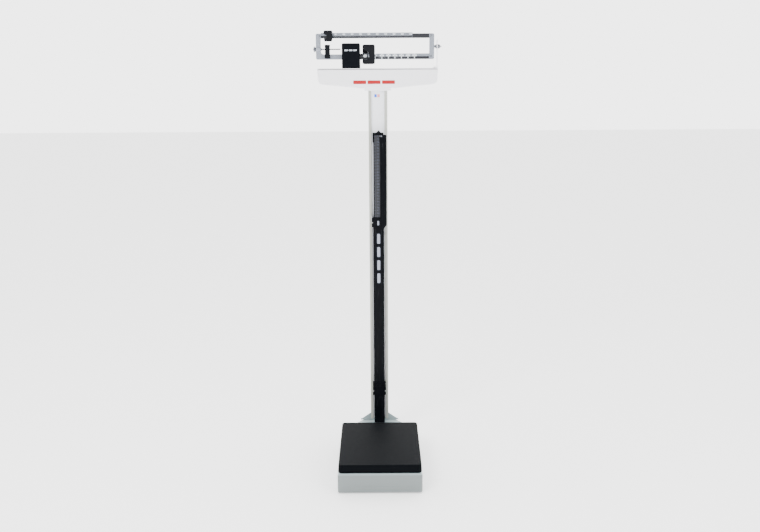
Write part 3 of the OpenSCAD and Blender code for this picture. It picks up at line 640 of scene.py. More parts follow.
def row_tree():
    """Equal marks in a straight row, with every so many longer; sizes in metres."""
    tree = Tree("row_of_marks", Count="Int", Step="Vector", Start="Vector", Size="Vector", Every="Int",
                Longer="Vector", Shift="Vector")
    ends = {"Count": tree.take("Count"), "Start Location": tree.take("Start"), "Offset": tree.take("Step")}
    line = tree.node("GeometryNodeMeshLine", ends, mode="OFFSET", count_mode="TOTAL")
    number = tree.node("GeometryNodeInputIndex", {})
    is_long = number.math("FLOORED_MODULO", tree.take("Every")).math("LESS_THAN", 0.5)
    grown = tree.node("ShaderNodeMix", {0: is_long, 4: (1.0, 1.0, 1.0), 5: tree.take("Longer")}, 1,
                      data_type="VECTOR")
    moved = tree.node("ShaderNodeVectorMath", {0: tree.take("Shift"), "Scale": is_long}, operation="SCALE")
    shifted = tree.node("GeometryNodeSetPosition", {"Geometry": line, "Offset": moved})
    mark = tree.node("GeometryNodeMeshCube", {"Size": tree.take("Size")})
    return tree.close(tree.node("GeometryNodeInstanceOnPoints",
                                {"Points": shifted, "Instance": mark, "Scale": grown}))


def ring_tree():
    """Ridges round a shaft along X, as on a knurled knob."""
    tree = Tree("ring_of_ridges", Count="Int", Radius="Float", Centre="Vector", Size="Vector")
    count = tree.take("Count")
    circle = tree.node("GeometryNodeMeshCircle", {"Vertices": count, "Radius": tree.take("Radius")})
    upright = tree.node("GeometryNodeTransform", {"Geometry": circle, "Rotation": (0.0, math.pi / 2, 0.0),
                                                  "Translation": tree.take("Centre")})
    angle = tree.node("GeometryNodeInputIndex", {}).math("DIVIDE", count) * (-2 * math.pi)
    spin = tree.node("ShaderNodeCombineXYZ", {0: angle})
    ridge = tree.node("GeometryNodeMeshCube", {"Size": tree.take("Size")})
    return tree.close(tree.node("GeometryNodeInstanceOnPoints",
                                {"Points": upright, "Instance": ridge, "Rotation": spin}))


def scatter_tree():
    """A copy of one part on every point, each spun by its own chance angle about its own Z."""
    tree = Tree("scatter_part", Part="Object", Turn="Vector", Seed="Int")
    part = tree.node("GeometryNodeObjectInfo", {"Object": tree.take("Part")}, "Geometry")
    chance = tree.node("FunctionNodeRandomValue", {2: 0.0, 3: 2 * math.pi, "Seed": tree.take("Seed")}, 1,
                       data_type="FLOAT")
    own = tree.node("ShaderNodeCombineXYZ", {2: chance})
    placed = tree.node("GeometryNodeInstanceOnPoints", {"Points": tree.take("Geometry"), "Instance": part,
                                                        "Rotation": tree.take("Turn")})
    return tree.close(tree.node("GeometryNodeRotateInstances",
                                {"Instances": placed, "Rotation": own, "Local Space": True}))


marks_in_row = row_tree()
ridges_in_ring = ring_tree()
part_on_points = scatter_tree()


def mark_row(name, finish, body, slot, count, start, step, size, every=1, longer=(1, 1, 1), shift=(0, 0, 0)):
    """A row of marks in millimetres. Every so many, one is longer by those factors and shifted."""
    marks_in_row.grow(name, finish, body, slot, Count=count, Start=metres(*start), Step=metres(*step),
                      Size=metres(*size), Every=every, Longer=longer, Shift=metres(*shift))


AXIS_TURN = {"front": (math.pi / 2, 0, 0), "back": (-math.pi / 2, 0, 0), "left": (0, -math.pi / 2, 0),
             "right": (0, math.pi / 2, 0), "up": (0, 0, 0), "down": (math.pi, 0, 0)}


def part_to_scatter(name, shape):
    """A part that isn't shown itself, only its copies."""
    return bpy.data.objects.new(name, shape.mesh(name))


def cut_away(shape, *cutters):
    """The shape without the space that the cutters fill."""
    body = add_object("cut_body", shape.mesh("cut_body"))
    tools = [add_object("cutter", cutter.mesh("cutter")) for cutter in cutters]
    for tool in tools:
        cut = body.modifiers.new("cut", "BOOLEAN")
        cut.operation, cut.object, cut.use_self = "DIFFERENCE", tool, True
    settle(body)
    left = Shape().add(body.data)
    bmesh.ops.scale(left.bm, vec=(1 / MM,) * 3, verts=left.bm.verts)
    for tool in tools:
        bpy.data.objects.remove(tool)
    return left


def screw_part(name, radius, height, slot_width):
    """A pan head with a straight slot; its seat is at zero and it faces +Z."""
    shoulder, flat = 0.45, 0.62
    crown = [(0.0, radius), (height * shoulder, radius)]
    crown += [(height * (shoulder + 0.55 * math.sin(a)), radius * (flat + 0.38 * math.cos(a)))
              for a in radians((25, 50, 75, 90))]
    head = Shape().lathe(crown, (0, 0), "z", 28)
    half = slot_width / 2
    slot = Shape().block(-radius - 1, radius + 1, -half, half, height * shoulder, height + 1, 0.01)
    return part_to_scatter(name, cut_away(head, slot))


def hex_part(name, across, height):
    """A hexagon bolt head with a chamfered top and a washer face."""
    shape = Shape()
    corner = across / math.sqrt(3)
    ring = arc(0, 0, corner, 0, 300, 5)
    top = arc(0, 0, corner * 0.86, 0, 300, 5)
    shape.skin([[(x, y, 0.4) for x, y in ring], [(x, y, height * 0.82) for x, y in ring],
                [(x, y, height) for x, y in top]])
    shape.lathe([(0.0, across / 2 + 0.6), (0.5, across / 2 + 0.6)], (0, 0), "z", 32)
    return part_to_scatter(name, shape)


def rivet_part(name, radius, height):
    """A round-headed rivet."""
    dome = [(0.0, radius)] + [(height * math.sin(a), radius * math.cos(a)) for a in radians((20, 40, 60, 80))]
    return part_to_scatter(name, Shape().lathe(dome + [(height, 0.01)], (0, 0), "z", 24))


def scatter(name, part, points, facing, finish, body, slot, replaced=(), seed=1):
    return part_on_points.grow(name, finish, body, slot, replaced, points=points, Part=part,
                               Turn=AXIS_TURN[facing], Seed=seed)


# ---------------------------------------------------------------- base and platform

def base_outline():
    """The base from above: a wide part and a tapering tail."""
    low, high = place("base_housing")
    wide_end, tail_start, tail = low.y + BASE_DEPTH, high.y - 34.5, 42
    plain = [(low.x, low.y), (high.x, low.y), (high.x, wide_end), (tail, tail_start), (tail, high.y),
             (-tail, high.y), (-tail, tail_start), (low.x, wide_end)]
    return softened(plain, [6, 6, 6, 6, 10, 10, 6, 6], 5)


def make_base():
    low, high = place("base_housing")
    sheet, fold, lip = 2.5, 7.5, 9
    top, under = high.z, high.z - sheet
    outline = base_outline()
    shape = Shape()
    profile = [(sheet, low.z), (0.5, low.z), (0, low.z + 0.5)]
    profile += [(fold * (1 - math.cos(a)), top - fold + fold * math.sin(a))
                for a in radians(range(0, 91, 15))]
    outer = shape.wall(outline, profile)
    inner = shape.wall(outline, [(sheet, under - 3), (sheet + 3, under)])
    shape.strip(outer[0], inner[0])
    opening = rounded(low.x + lip, high.x - lip, low.y + lip, low.y + BASE_DEPTH - lip, 8)
    rod_hole = arc(0, BEAM_Y, 12, 0, 345, 23)
    rims = [shape.wall(edge, [(-1.2, top), (-0.35, top - 0.35), (0, top - 1.2), (0, under)])
            for edge in (opening, rod_hole)]
    shape.fill(outer[-1], *[loops[0] for loops in rims])
    shape.fill(inner[-1], *[loops[-1] for loops in rims])
    make("base_shell", shape, base_enamel, "root", ["base_housing"])

    pan = Shape()
    floor_low, floor_high = place("base_pan")
    pan.slab(inset(outline, sheet), floor_low.z, floor_high.z, "z", 0.4, 2)
    for y in (-120, -20):
        pan.block(-100, 100, y - 9, y + 9, floor_high.z - 0.3, floor_high.z + 3.0, 1.4)
    make("base_floor", pan, base_enamel, "root", ["base_pan"])


def make_feet():
    low, high = place("base_feet")
    foot = Shape()
    seat, reach, rear = 4.5, 14, 81.5
    rubber = [(0.0, 11.6), (0.3, 12.4), (1.2, 13.2), (2.6, 14.0), (3.6, 14.0), (seat, 13.6)]
    foot.lathe(rubber, (0, 0), "z", 36)
    foot.lathe([(seat, 3), (high.z, 3)], (0, 0), "z", 20)
    foot.lathe([(7, 6), (10, 6)], (0, 0), "z", 6)
    part = part_to_scatter("foot", foot)
    corners = [(sx * (high.x - reach), y, 0) for sx in (-1, 1) for y in (low.y + reach, rear)]
    tail = [(sx * 22, high.y - reach, 0) for sx in (-1, 1)]
    scatter("rubber_feet", part, corners + tail, "up", foot_rubber, "root", "rubber_feet", ["base_feet"])


def make_platform():
    """The rubber cover: a soft-edged tray with a drafted skirt, a bead round its foot and a finely ribbed
    top."""
    low, high = place("platform_cover")
    outline = rounded(low.x, high.x, low.y, high.y, 11, 7)
    top, crown = high.z, 5.0
    turns = radians((*range(0, 85, 12), 90))
    profile = [(3.0, low.z), (0.6, low.z), (0.0, low.z + 0.6), (0.0, low.z + 2.4), (0.5, low.z + 3.1),
               (0.55, low.z + 5.0)]
    profile += [(0.9 + crown * (1 - math.cos(a)), top - crown + crown * math.sin(a)) for a in turns]
    profile += [(crown + 4, top)]
    shape = Shape()
    outer = shape.wall(outline, profile)
    shape.fill(outer[-1])
    under = shape.wall(outline, [(5.5, top - 3), (3.6, top - 4), (3.0, top - 6)])
    shape.strip(under[-1], outer[0])
    shape.fill(under[0])
    make("platform_mat", shape, mat_rubber, "platform", ["platform_cover"], 60)
    mark_row("mat_ribs", mat_rubber, "platform", "platform_rubber", 61,
             (-111, (low.y + high.y) / 2, top - 0.02), (3.7, 0, 0), (1.1, high.y - low.y - 40, 0.3))


# ---------------------------------------------------------------- column and its foot

def column_outline():
    """The column from above, with the recess in its front."""
    low, high = place("column")
    half, front, back = high.x, low.y, high.y
    recess, web = 21.5, low.y + 8
    plain = [(-half, front), (-recess, front), (-recess, web), (recess, web), (recess, front), (half, front),
             (half, back), (-half, back)]
    return softened(plain, [2.4, 2.0, 1.5, 1.5, 2.0, 2.4, 3, 3], 4)


def make_column():
    low, high = place("column")
    outline, wall = column_outline(), 1.3
    shape = Shape().slab(outline, low.z, high.z, "z", 0.2, 1, hole=inset(outline, wall))
    make("column_post", shape, column_paint, "root", ["column"], 50)


def make_column_foot():
    """A notched foot plate with a gusset and its weld at each side of the column."""
    low, high = place("column_foot")
    top, fin_front, fin_back, fin_root = low.z + 4, low.y + 0.5, low.y + 3.5, 31.2
    post = place("column")[1].x
    shape = Shape()
    half_plate = [(post, low.y), (post, fin_back - 0.3), (high.x, fin_back - 0.3), (40, 217), (40, high.y)]
    plate = half_plate + [(-x, y) for x, y in reversed(half_plate)]
    shape.slab(plate, low.z + 0.05, top, "z", 0.4, 2)
    for side in (-1, 1):
        fin = [(fin_root, low.z), (high.x, low.z), (high.x, low.z + 1.5), (33, high.z), (fin_root, high.z)]
        fin = softened([(side * x, z) for x, z in fin][::side], [0, 0.4, 0.4, 2, 0][::side], 3)
        shape.slab(fin, fin_front, fin_back, "y", 0.7, 2)
        weld = [(y, 1.9 + 0.28 * math.sin(y * 2.6)) for y in range(188, 225)]
        shape.lathe(weld, (side * 32.0, top), "y", 10)
    make("column_pedestal", shape, base_enamel, "root", ["column_foot"], 50)
    heads = [(x, y, top) for x in (-40, 40) for y in (199.5, 213.5)]
    bolt = hex_part("bolt_head", 10.4, 4.5)
    scatter("pedestal_bolts", bolt, heads, "up", zinc, "root", "zinc_screws", ["foot_bolts"])


def make_label():
    """A small printed label: a plain blue square beside a plain pink one on white."""
    low, high = place("front_label")
    label = Shape().slab(rounded(low.x, high.x, low.z, high.z, 1.2, 4), low.y - 0.05, high.y, "y", 0.05, 1)
    make("label_card", label, label_white, "root", ["front_label"])
    for name, left, finish in (("label_blue", -11.6, blue_ink), ("label_pink", -1.8, pink_ink)):
        square = rounded(left, left + 8.2, 1208.6, 1218.4, 0.8, 4)
        make(name, Shape().patch(square, low.y, 0.13, -0.02, 0.03), finish, "root")


# ---------------------------------------------------------------- shelf and fulcrum cover

def shelf_outline():
    """The shelf's boat shape from the front."""
    high = place("beam_shelf")[1]
    top, end, corner, keel, keel_half = high.z, high.x, 1252, 1238, 56
    foot = end - 4
    plain = [(-end, top), (-foot, corner), (-keel_half, keel), (keel_half, keel), (foot, corner), (end, top)]
    return softened(plain, [2.5, 15, 30, 30, 15, 2.5], 7)


def make_shelf():
    low, high = place("beam_shelf")
    front, back = low.y, high.y
    shape = Shape().slab(shelf_outline(), front, back, "y", 4.5, 6)
    collar = rounded(-44.7, 44.7, front + 4, back - 4, 6, 6)
    shape.slab(collar, 1230, 1243, "z", 2.2, 4)
    make("shelf_shell", shape, shelf_enamel, "root", ["beam_shelf", "shelf_screws"], 50)
    rim = shelf_outline()
    bead = Shape().patch(inset(rim, 5.5), front, 0.25, 1, 0.25, 2, hole=inset(rim, 6.3))
    make("shelf_bead", bead, shelf_enamel, "root")
    marks = Shape()
    for k in range(3):
        left = -81 + k * 47.5
        marks.patch(rounded(left, left + 43, 1252, 1264, 2.5, 5), front, 0.3, 0.5, 0.1, 2)
    make("shelf_marks", marks, red_ink, "root")


def make_fulcrum_cover():
    """A front and a back plate with three arches between them; the beam passes under the middle arch."""
    low, high = place("fulcrum_cover")
    left, right, top, base = low.x, high.x, high.z, low.z
    wall, slot_front, slot_back, slot_top = 2.2, 198.5, 214.5, 1356
    outline = softened([(left, base), (right, base), (right, top), (left, top)], [0, 0, 5, 5], 6)
    shape = Shape()
    for y0, y1 in ((low.y, low.y + wall), (high.y - wall, high.y)):
        shape.slab(outline, y0, y1, "y", 1.05, 4)
    for y0, y1, foot in ((low.y + 1.1, slot_front, base), (slot_front - 0.01, slot_back + 0.01, slot_top),
                         (slot_back, high.y - 1.1, base)):
        arch = [(left, foot), (left + wall, foot), (left + wall, top - wall), (right - wall, top - wall),
                (right - wall, foot), (right, foot), (right, top), (left, top)]
        shape.slab(softened(arch, [0, 0, 2.8, 2.8, 0, 0, 5, 5], 6), y0, y1, "y", 0.02, 1)
    make("fulcrum_housing", shape, cover_black, "root", ["fulcrum_cover"], 35)
    marks = Shape()
    for k in range(3):
        x = left + 9 + k * 14.5
        marks.patch(rounded(x, x + 11.5, 1358.5, 1363, 1.2, 4), low.y, 0.2, 0.4, 0.08)
    make("housing_marks", marks, bar_ink, "root")
    bead = Shape().patch(inset(outline, 2.5), low.y, 0.3, 0.5, 0.2, 2, hole=inset(outline, 3.3))
    make("housing_bead", bead, cover_black, "root")


def make_trig_loop():
    low, high = place("trig_loop")
    front, back, wire = 194.5, 218.5, 4
    loop_out = rounded(front, back, low.z, high.z, 3, 5)
    loop_in = rounded(front + wire, back - wire, 1352, 1390.5, 2.2, 5)
    shape = Shape().slab(loop_out, 195.5, 198, "x", 0.6, 3, hole=loop_in)
    shape.slab(rounded(182, 197, front, back, 2, 4), low.z, low.z + 2, "z", 0.6, 3)
    make("trig_bracket", shape, shelf_enamel, "root", ["trig_loop"], 50)
    trig = [(189, y, low.z + 2) for y in (197.5, 215.5)]
    stand = [(x, y, low.z + 3) for x in (-108, -65) for y in (187.5, 225.5)]
    screw = screw_part("shelf_screw", 3, 1.8, 0.9)
    scatter("shelf_top_fixings", screw, trig + stand, "up", zinc, "root", "zinc_screws", ["shelf_top_screws"],
            3)


# ---------------------------------------------------------------- beam

def make_beam_frame():
    left, right_of_bar, hub_left, hub_right = -203.5, -187, -112, -62
    top, hub_top = 1415, 1362
    plain = [(left, LOW_BAR), (hub_right, LOW_BAR), (hub_right, hub_top), (hub_left, hub_top),
             (hub_left, LOW_BAR_TOP), (right_of_bar, LOW_BAR_TOP), (right_of_bar, top), (left, top)]
    outline = softened(plain, [5, 2, 6, 6, 3, 9, 4, 4.5], 6)
    shape = Shape().slab(outline, CASTING_FRONT, CASTING_BACK, "y", 1.6, 4)
    turns, neck, edge = radians(range(0, 91, 15)), 6.3, 2.2
    boss = [(left - 0.1, 5.5)]
    boss += [(left + edge - edge * math.cos(a), neck + edge * math.sin(a)) for a in turns]
    boss += [(right_of_bar - edge + edge * math.sin(a), neck + edge * math.cos(a)) for a in turns]
    boss += [(right_of_bar + 0.1, 5.5)]
    shape.lathe(boss, (BEAM_Y, BALANCE_Z), "x", 40)
    make("beam_casting", shape, beam_silver, "beam", ["beam_frame"], 42)


def make_beam_end():
    low, high = place("beam_end")
    shape = Shape().slab(rounded(low.x, high.x, low.z, high.z, 4.5, 6), low.y, high.y, "y", 1.6, 4)
    make("beam_end_bar", shape, beam_silver, "beam", ["beam_end"], 42)


def make_main_bar():
    low, high = place("main_bar")
    top, cut = high.z, 2.4
    outline = [(low.x, low.z), (high.x, low.z), (high.x, top)]
    for k in reversed(range(NOTCHES)):
        x = FIRST_NOTCH + k * NOTCH
        outline += [(x + cut, top), (x + 0.3, top - cut), (x - 0.3, top - cut), (x - cut, top)]
    outline += [(low.x, top)]
    shape = Shape().slab(outline, BAR_FRONT, BAR_BACK, "y", 0.35, 2)
    make("main_bar_body", shape, bar_silver, "beam", ["main_bar"])
    band = Shape().patch(rounded(-60, 169.5, 1332.4, 1341.0, 0.4, 2), BAR_FRONT, 0.08, 0.3, 0.04)
    # This second patch carries the dark ink over the bar's full height at its left end, by the poise's reading
    # notch: partly the bar's own dark print, partly painted shade from the notch.
    band.patch(rounded(-60, -31.5, 1341.2, 1349.4, 0.4, 2), BAR_FRONT, 0.08, 0.3, 0.04)
    make("main_bar_band", band, band_ink, "beam")
    zero = Shape().patch(rounded(-47, -35.5, 1338.5, 1347.2, 3.4, 5), BAR_FRONT, 0.12, 0.3, 0.05)
    make("main_bar_zero", zero, pale_ink, "beam")
    mark_row("main_bar_marks", pale_ink, "beam", "graduated_bar", (NOTCHES - 1) * 5 + 1,
             (FIRST_NOTCH, BAR_FRONT - 0.11, 1339.5), (NOTCH / 5, 0, 0), (0.5, 0.12, 2.8), 5, (4.4, 1, 3.0),
             (0, 0, -2.7))
    numbers = [(str(50 * k), FIRST_NOTCH + k * NOTCH, 1344.2) for k in range(NOTCHES)]
    numbers[0] = ("0", -41.2, 1342.8)
    plates = number_plates(numbers[1:], 2.4, 1.6, 2.7, 0.9, BAR_FRONT, 0.13, 0.04)
    make("main_bar_plates", plates, pale_ink, "beam")
    digits = lettering(numbers, 4.8, 0.05, BAR_FRONT - 0.18)
    make("main_bar_numbers", digits, band_ink, "beam")


def make_fractional_bar():
    """The upper bar, with a thin graduated strip on its front that stands a little above it."""
    low, high = place("fractional_bar")
    shape = Shape().slab([(low.x, low.z), (high.x, low.z), (high.x, high.z), (low.x, high.z)],
                         BAR_FRONT, BAR_BACK, "y", 0.5, 2)
    make("fractional_bar_body", shape, bar_silver, "beam", ["fractional_bar"])
    strip_start, strip_end, band_end, strip_base, strip_top = -186.6, 115, 170.4, HIGH_BAR + 0.6, 1417.1
    corners = [(strip_start, strip_base), (strip_end, strip_base), (strip_end, strip_top),
               (strip_start, strip_top)]
    strip = Shape().patch(softened(corners, [0.3, 0.3, 1.2, 1.2], 3), BAR_FRONT, 0.06, 0.8, 0.05)
    make("fractional_strip", strip, bar_silver, "beam")
    face = BAR_FRONT - 0.06
    band = Shape()
    graduated = rounded(strip_start + 0.2, strip_end - 0.4, HIGH_BAR + 0.8, 1408.2, 0.3, 2)
    band.patch(graduated, face, 0.04, 0.3, 0.02)
    blank = rounded(strip_end + 0.2, band_end, HIGH_BAR + 0.3, HIGH_BAR_TOP - 0.3, 0.3, 2)
    band.patch(blank, BAR_FRONT, 0.06, 0.3, 0.04)
    make("fractional_bar_band", band, band_ink, "beam")
    start, step, count = -165.5, 1.1, 251
    mark_row("fractional_bar_marks", bar_ink, "beam", "graduated_bar", count, (start, face - 0.06, 1407.3),
             (step, 0, 0), (0.26, 0.1, 1.6), 5, (1.5, 1, 2.1), (0, 0, -0.9))
    numbers = [(str(k), start + k * step * 5, 1412.6) for k in range(0, 51, 5)]
    plates = number_plates(numbers, 1.6, 1.2, 2.3, 0.7, face, 0.04, 0.02)
    make("fractional_bar_plates", plates, pale_ink, "beam")
    digits = lettering(numbers, 4.2, 0.04, face - 0.07)
    make("fractional_bar_numbers", digits, band_ink, "beam")


def make_beam_fixings():
    rivets = ((-67, 1341), (175.8, 1341), (-192, 1406.5), (175.8, 1406.5))
    part = rivet_part("beam_rivet", 3.4, 1.4)
    sides = (("front", CASTING_FRONT, ["beam_rivets"], 5), ("back", CASTING_BACK, (), 6))
    for side, y, replaced, seed in sides:
        spots = [(x, y, z) for x, z in rivets]
        scatter("beam_rivets_" + side, part, spots, side, plated, "beam", "zinc_screws", replaced, seed)
    start, tip = 187.3, place("pointer")[1].x
    turns = radians(range(0, 181, 12))
    profile = [(start, 4.2), (start + 1.2, 4.4), (start + 2.0, 3.2)]
    profile += [(start + 11.2 - 9.2 * math.cos(a), 1.1 + 6.2 * math.sin(a) ** 0.8) for a in turns[2:-1]]
    profile += [(start + 21, 1.3), (tip - 1.5, 0.8), (tip - 0.4, 0.5), (tip, 0.05)]
    shape = Shape().lathe(profile, (BEAM_Y, 1372.3), "x", 40)
    make("pointer_tip", shape, plated, "beam", ["pointer"], 50)


def make_balance_screw():
    """A threaded rod that turns with its knurled knob and collar."""
    low, high = place("balance_rod")
    axis = (BEAM_Y, BALANCE_Z)
    pitch, sides, outer, depth, per_turn, bevel, tip = 1.25, 16, 2.0, 0.32, 8, 0.6, 1.2

    def ring(x, radii):
        """A ring round the rod's axis, with a radius for each of its points."""
        turns = [2 * math.pi * s / sides for s in range(sides)]
        return [(x, axis[0] + r * math.cos(a), axis[1] + r * math.sin(a)) for a, r in zip(turns, radii)]

    rings = [ring(low.x, [tip] * sides)]
    for k in range(int((high.x - low.x - 2 * bevel) / pitch * per_turn) + 1):
        phases = [(k / per_turn - s / sides) % 1 for s in range(sides)]
        rings.append(ring(low.x + bevel + k * pitch / per_turn,
                          [outer - depth * abs(2 * phase - 1) for phase in phases]))
    rings.append(ring(high.x, [tip] * sides))
    thread = Shape().skin(rings)
    make("balance_thread", thread, thread_steel, "balance_screw", ["balance_rod"], 25)
    knob = Shape()
    left, right, grip = -211.5, -203.8, 7.4
    knob.lathe([(left - 0.4, 3.4), (left, 4.2), (left, 6.2), (left + 0.8, grip), (right - 1.2, grip),
                (right - 0.3, 6.6), (right, 5.0)], axis, "x", 48)
    knob.lathe([(-186.7, 2.6), (-186.5, 3.8), (-184.0, 4.0), (-183.7, 3.4)], axis, "x", 32)
    make("balance_knob_body", knob, plated, "balance_screw", ["balance_knob"], 40)
    ridges_in_ring.grow("balance_knurl", plated, "balance_screw", "bright_steel", Count=36, Radius=grip * MM,
                        Centre=metres(-207.4, *axis), Size=metres(1.4, 0.7, 5.6), smooth=20)


def make_balance_weight():
    low, high = place("balance_weight")
    x = (low.x + high.x) / 2
    base, top = low.z, high.z
    plain = [(x - 9, base), (x + 9, base), (x + 9, base + 7), (x + 7.9, base + 15), (x + 7.9, top - 8),
             (x + 8.7, top - 3), (x + 8.7, top), (x - 8.7, top), (x - 8.7, top - 3), (x - 7.9, top - 8),
             (x - 7.9, base + 15), (x - 9, base + 7)]
    outline = softened(plain, [1.6, 1.6, 5, 12, 12, 3, 2, 2, 3, 12, 12, 5], 4)
    front, back = CASTING_FRONT - 0.4, CASTING_BACK + 0.4
    shape = Shape()
    shape.slab(outline, low.y, front, "y", 2.0, 4)
    shape.slab(outline, back, high.y, "y", 2.0, 4)
    upper = softened([(x - 8.2, LOW_BAR_TOP + 0.5), (x + 8.2, LOW_BAR_TOP + 0.5), (x + 8, top - 0.3),
                      (x - 8, top - 0.3)], [0.5, 0.5, 1.6, 1.6], 3)
    shape.slab(upper, front - 2, back + 2, "y", 0.05, 1)
    make("balance_weight_body", shape, weight_black, "balance_weight", ["balance_weight"], 42)


def make_main_poise():
    """Two cheeks joined above and below the bar; the front one has the reading notch at its left."""
    low, high = place("main_poise")
    left, right, base, top = low.x, high.x, low.z, high.z
    tip, notch_top, notch_base = -27.5, 1364, 1331.2
    front, back = BAR_FRONT - 0.3, BAR_BACK + 0.3
    cheek = [(left, base), (right, base), (right, top), (left, top), (left, notch_top), (tip - 6, 1357),
             (tip, 1351), (tip, 1341), (tip - 6, notch_base), (left, notch_base)]
    shape = Shape()
    shape.slab(softened(cheek, [6, 6, 6, 6, 2.5, 5, 4, 4, 5, 2.5], 5), low.y, front, "y", 2.2, 5)
    shape.slab(rounded(left, right, base, top, 6, 6), back, high.y, "y", 2.2, 5)
    for z0, z1 in ((base + 0.1, LOW_BAR - 0.4), (1358.2, top - 0.1)):
        block = softened([(left + 0.1, z0), (right - 0.1, z0), (right - 0.1, z1), (left + 0.1, z1)],
                         [5.5, 5.5, 0.6, 0.6] if z0 < 1330 else [0.6, 0.6, 5.5, 5.5], 5)
        shape.slab(block, front - 3, back + 3, "y", 0.05, 1)
    make("main_poise_body", shape, poise_satin, "main_poise", ["main_poise"], 42)
    grip = Shape()
    for k in range(3):
        z = top - 11 + k * 2.6
        grip.patch(rounded(left + 10, right - 6, z, z + 1.2, 0.55, 3), low.y, 0.3, 0.6, 0.3, 2)
    make("main_poise_grip", grip, poise_satin, "main_poise")


def make_fractional_poise():
    """A smaller poise of the same kind, with a pointed notch at its left."""
    low, high = place("fractional_poise")
    left, right, base, top = low.x, high.x, low.z, high.z
    tip, notch_top, notch_base = -165.5, 1413.5, 1399.1
    front, back = BAR_FRONT - 0.3, BAR_BACK + 0.3
    both = [(left + 2.5, base), (right - 2.5, base), (right, notch_base), (right, top), (left, top)]
    cheek = both + [(left, notch_top), (tip - 3, 1410), (tip, 1406.5), (tip - 3, notch_base),
                    (left + 0.8, notch_base)]
    shape = Shape()
    shape.slab(softened(cheek, [1.5, 1.5, 3, 4, 4, 2, 2.5, 2, 2.5, 1], 4), low.y, front, "y", 1.8, 4)
    rear = both + [(left, notch_base)]
    shape.slab(softened(rear, [1.5, 1.5, 3, 4, 4, 3], 4), back, high.y, "y", 1.8, 4)
    for z0, z1, step in ((base + 0.1, notch_base - 0.1, 2.6), (1417.4, top - 0.1, 0.1)):
        block = softened([(left + step, z0), (right - step, z0), (right - step, z1), (left + step, z1)],
                         [0.5, 0.5, 3.5, 3.5] if z0 > 1410 else 0.5, 4)
        shape.slab(block, front - 3, back + 3, "y", 0.05, 1)
    make("fractional_poise_body", shape, poise_satin, "fractional_poise", ["fractional_poise"],
         42)


# ---------------------------------------------------------------- height rod

def make_tube(name, node, finish, body, radius):
    """A rectangular tube with rounded corners. Gives back the y of its front."""
    low, high = place(node)
    wall = TUBE_WALL
    outer = rounded(low.x, high.x, low.y, high.y, radius, 4)
    inner = rounded(low.x + wall, high.x - wall, low.y + wall, high.y - wall, max(radius - wall, 0.2), 4)
    shape = Shape().slab(outer, low.z, high.z, "z", 0.2, 2, hole=inner)
    make(name, shape, finish, body, [node])
    return low.y


def make_case():
    front = make_tube("rod_case", "outer_rod_case", rod_black, "root", 1.8)
    marks = Shape()
    for k in range(4):
        z = 752 - k * 46
        marks.patch(rounded(-5, 5, z - 34, z, 3, 5), front, 0.2, 0.3, 0.08)
    make("case_marks", marks, soft_ink, "root")


def bracket_band(shape, z0, z1, front, back, half):
    """A moulded block round the case: a front strap, two sides and a back."""
    low, high = place("outer_rod_case")
    hole = rounded(low.x - 0.05, high.x + 0.05, low.y - 0.05, high.y + 0.05, 1.8, 5)
    shape.slab(rounded(-half, half, front, back, 2.4, 5), z0, z1, "z", 0.8, 3, hole=hole)


def make_brackets():
    low, high = place("upper_rod_bracket")
    upper = Shape()
    bracket_band(upper, low.z, high.z - 5.2, low.y, high.y, high.x)
    middle_low, middle_high = place("middle_rod")
    lip = rounded(middle_low.x - 0.3, middle_high.x + 0.3, middle_low.y - 0.3, middle_high.y + 0.3, 0.8, 5)
    upper.slab(rounded(low.x, high.x, low.y, high.y, 2.4, 5), high.z - 5.4, high.z, "z", 0.8, 3, hole=lip)
    for z in (low.z + 1.6, high.z - 3.2):
        upper.patch(rounded(low.x + 1.5, high.x - 1.5, z, z + 1.6, 0.7, 3), low.y, 0.35, 0.6, 0.3, 2)
    make("upper_bracket_block", upper, rod_black, "root", ["upper_rod_bracket"])
    bar = Shape().patch(rounded(-4, 2, low.z + 7, high.z - 11, 1.5, 4), low.y, 0.2, 0.4, 0.08)
    make("bracket_mark", bar, soft_ink, "root")
    low, high = place("lower_rod_bracket")
    band_top = low.z + 29.8
    lower = Shape()
    bracket_band(lower, low.z, band_top, low.y, high.y, high.x)
    case_low, case_high = place("outer_rod_case")
    bracket_band(lower, high.z - 7, high.z, low.y, case_high.y + 1.5, high.x)
    for side in (-1, 1):
        ear = [(side * (case_high.x + 0.05), case_low.y + 1), (side * (high.x - 1), case_low.y + 1),
               (side * (high.x - 1), case_high.y), (side * (case_high.x + 0.05), case_high.y)]
        lower.slab(ear[::side], band_top - 0.5, high.z - 6.5, "z", 0.05, 1)
    make("lower_bracket_block", lower, rod_black, "root", ["lower_rod_bracket"])
    front = place("upper_rod_bracket")[0].y
    spots = [(x, front, z) for x in (-20.9, 20.9) for z in (186.7, 791.5)]
    screw = screw_part("bracket_screw", 2.3, 1.0, 0.6)
    scatter("bracket_fixings", screw, spots, "front", zinc, "root", "zinc_screws", ["bracket_screws"], 8)


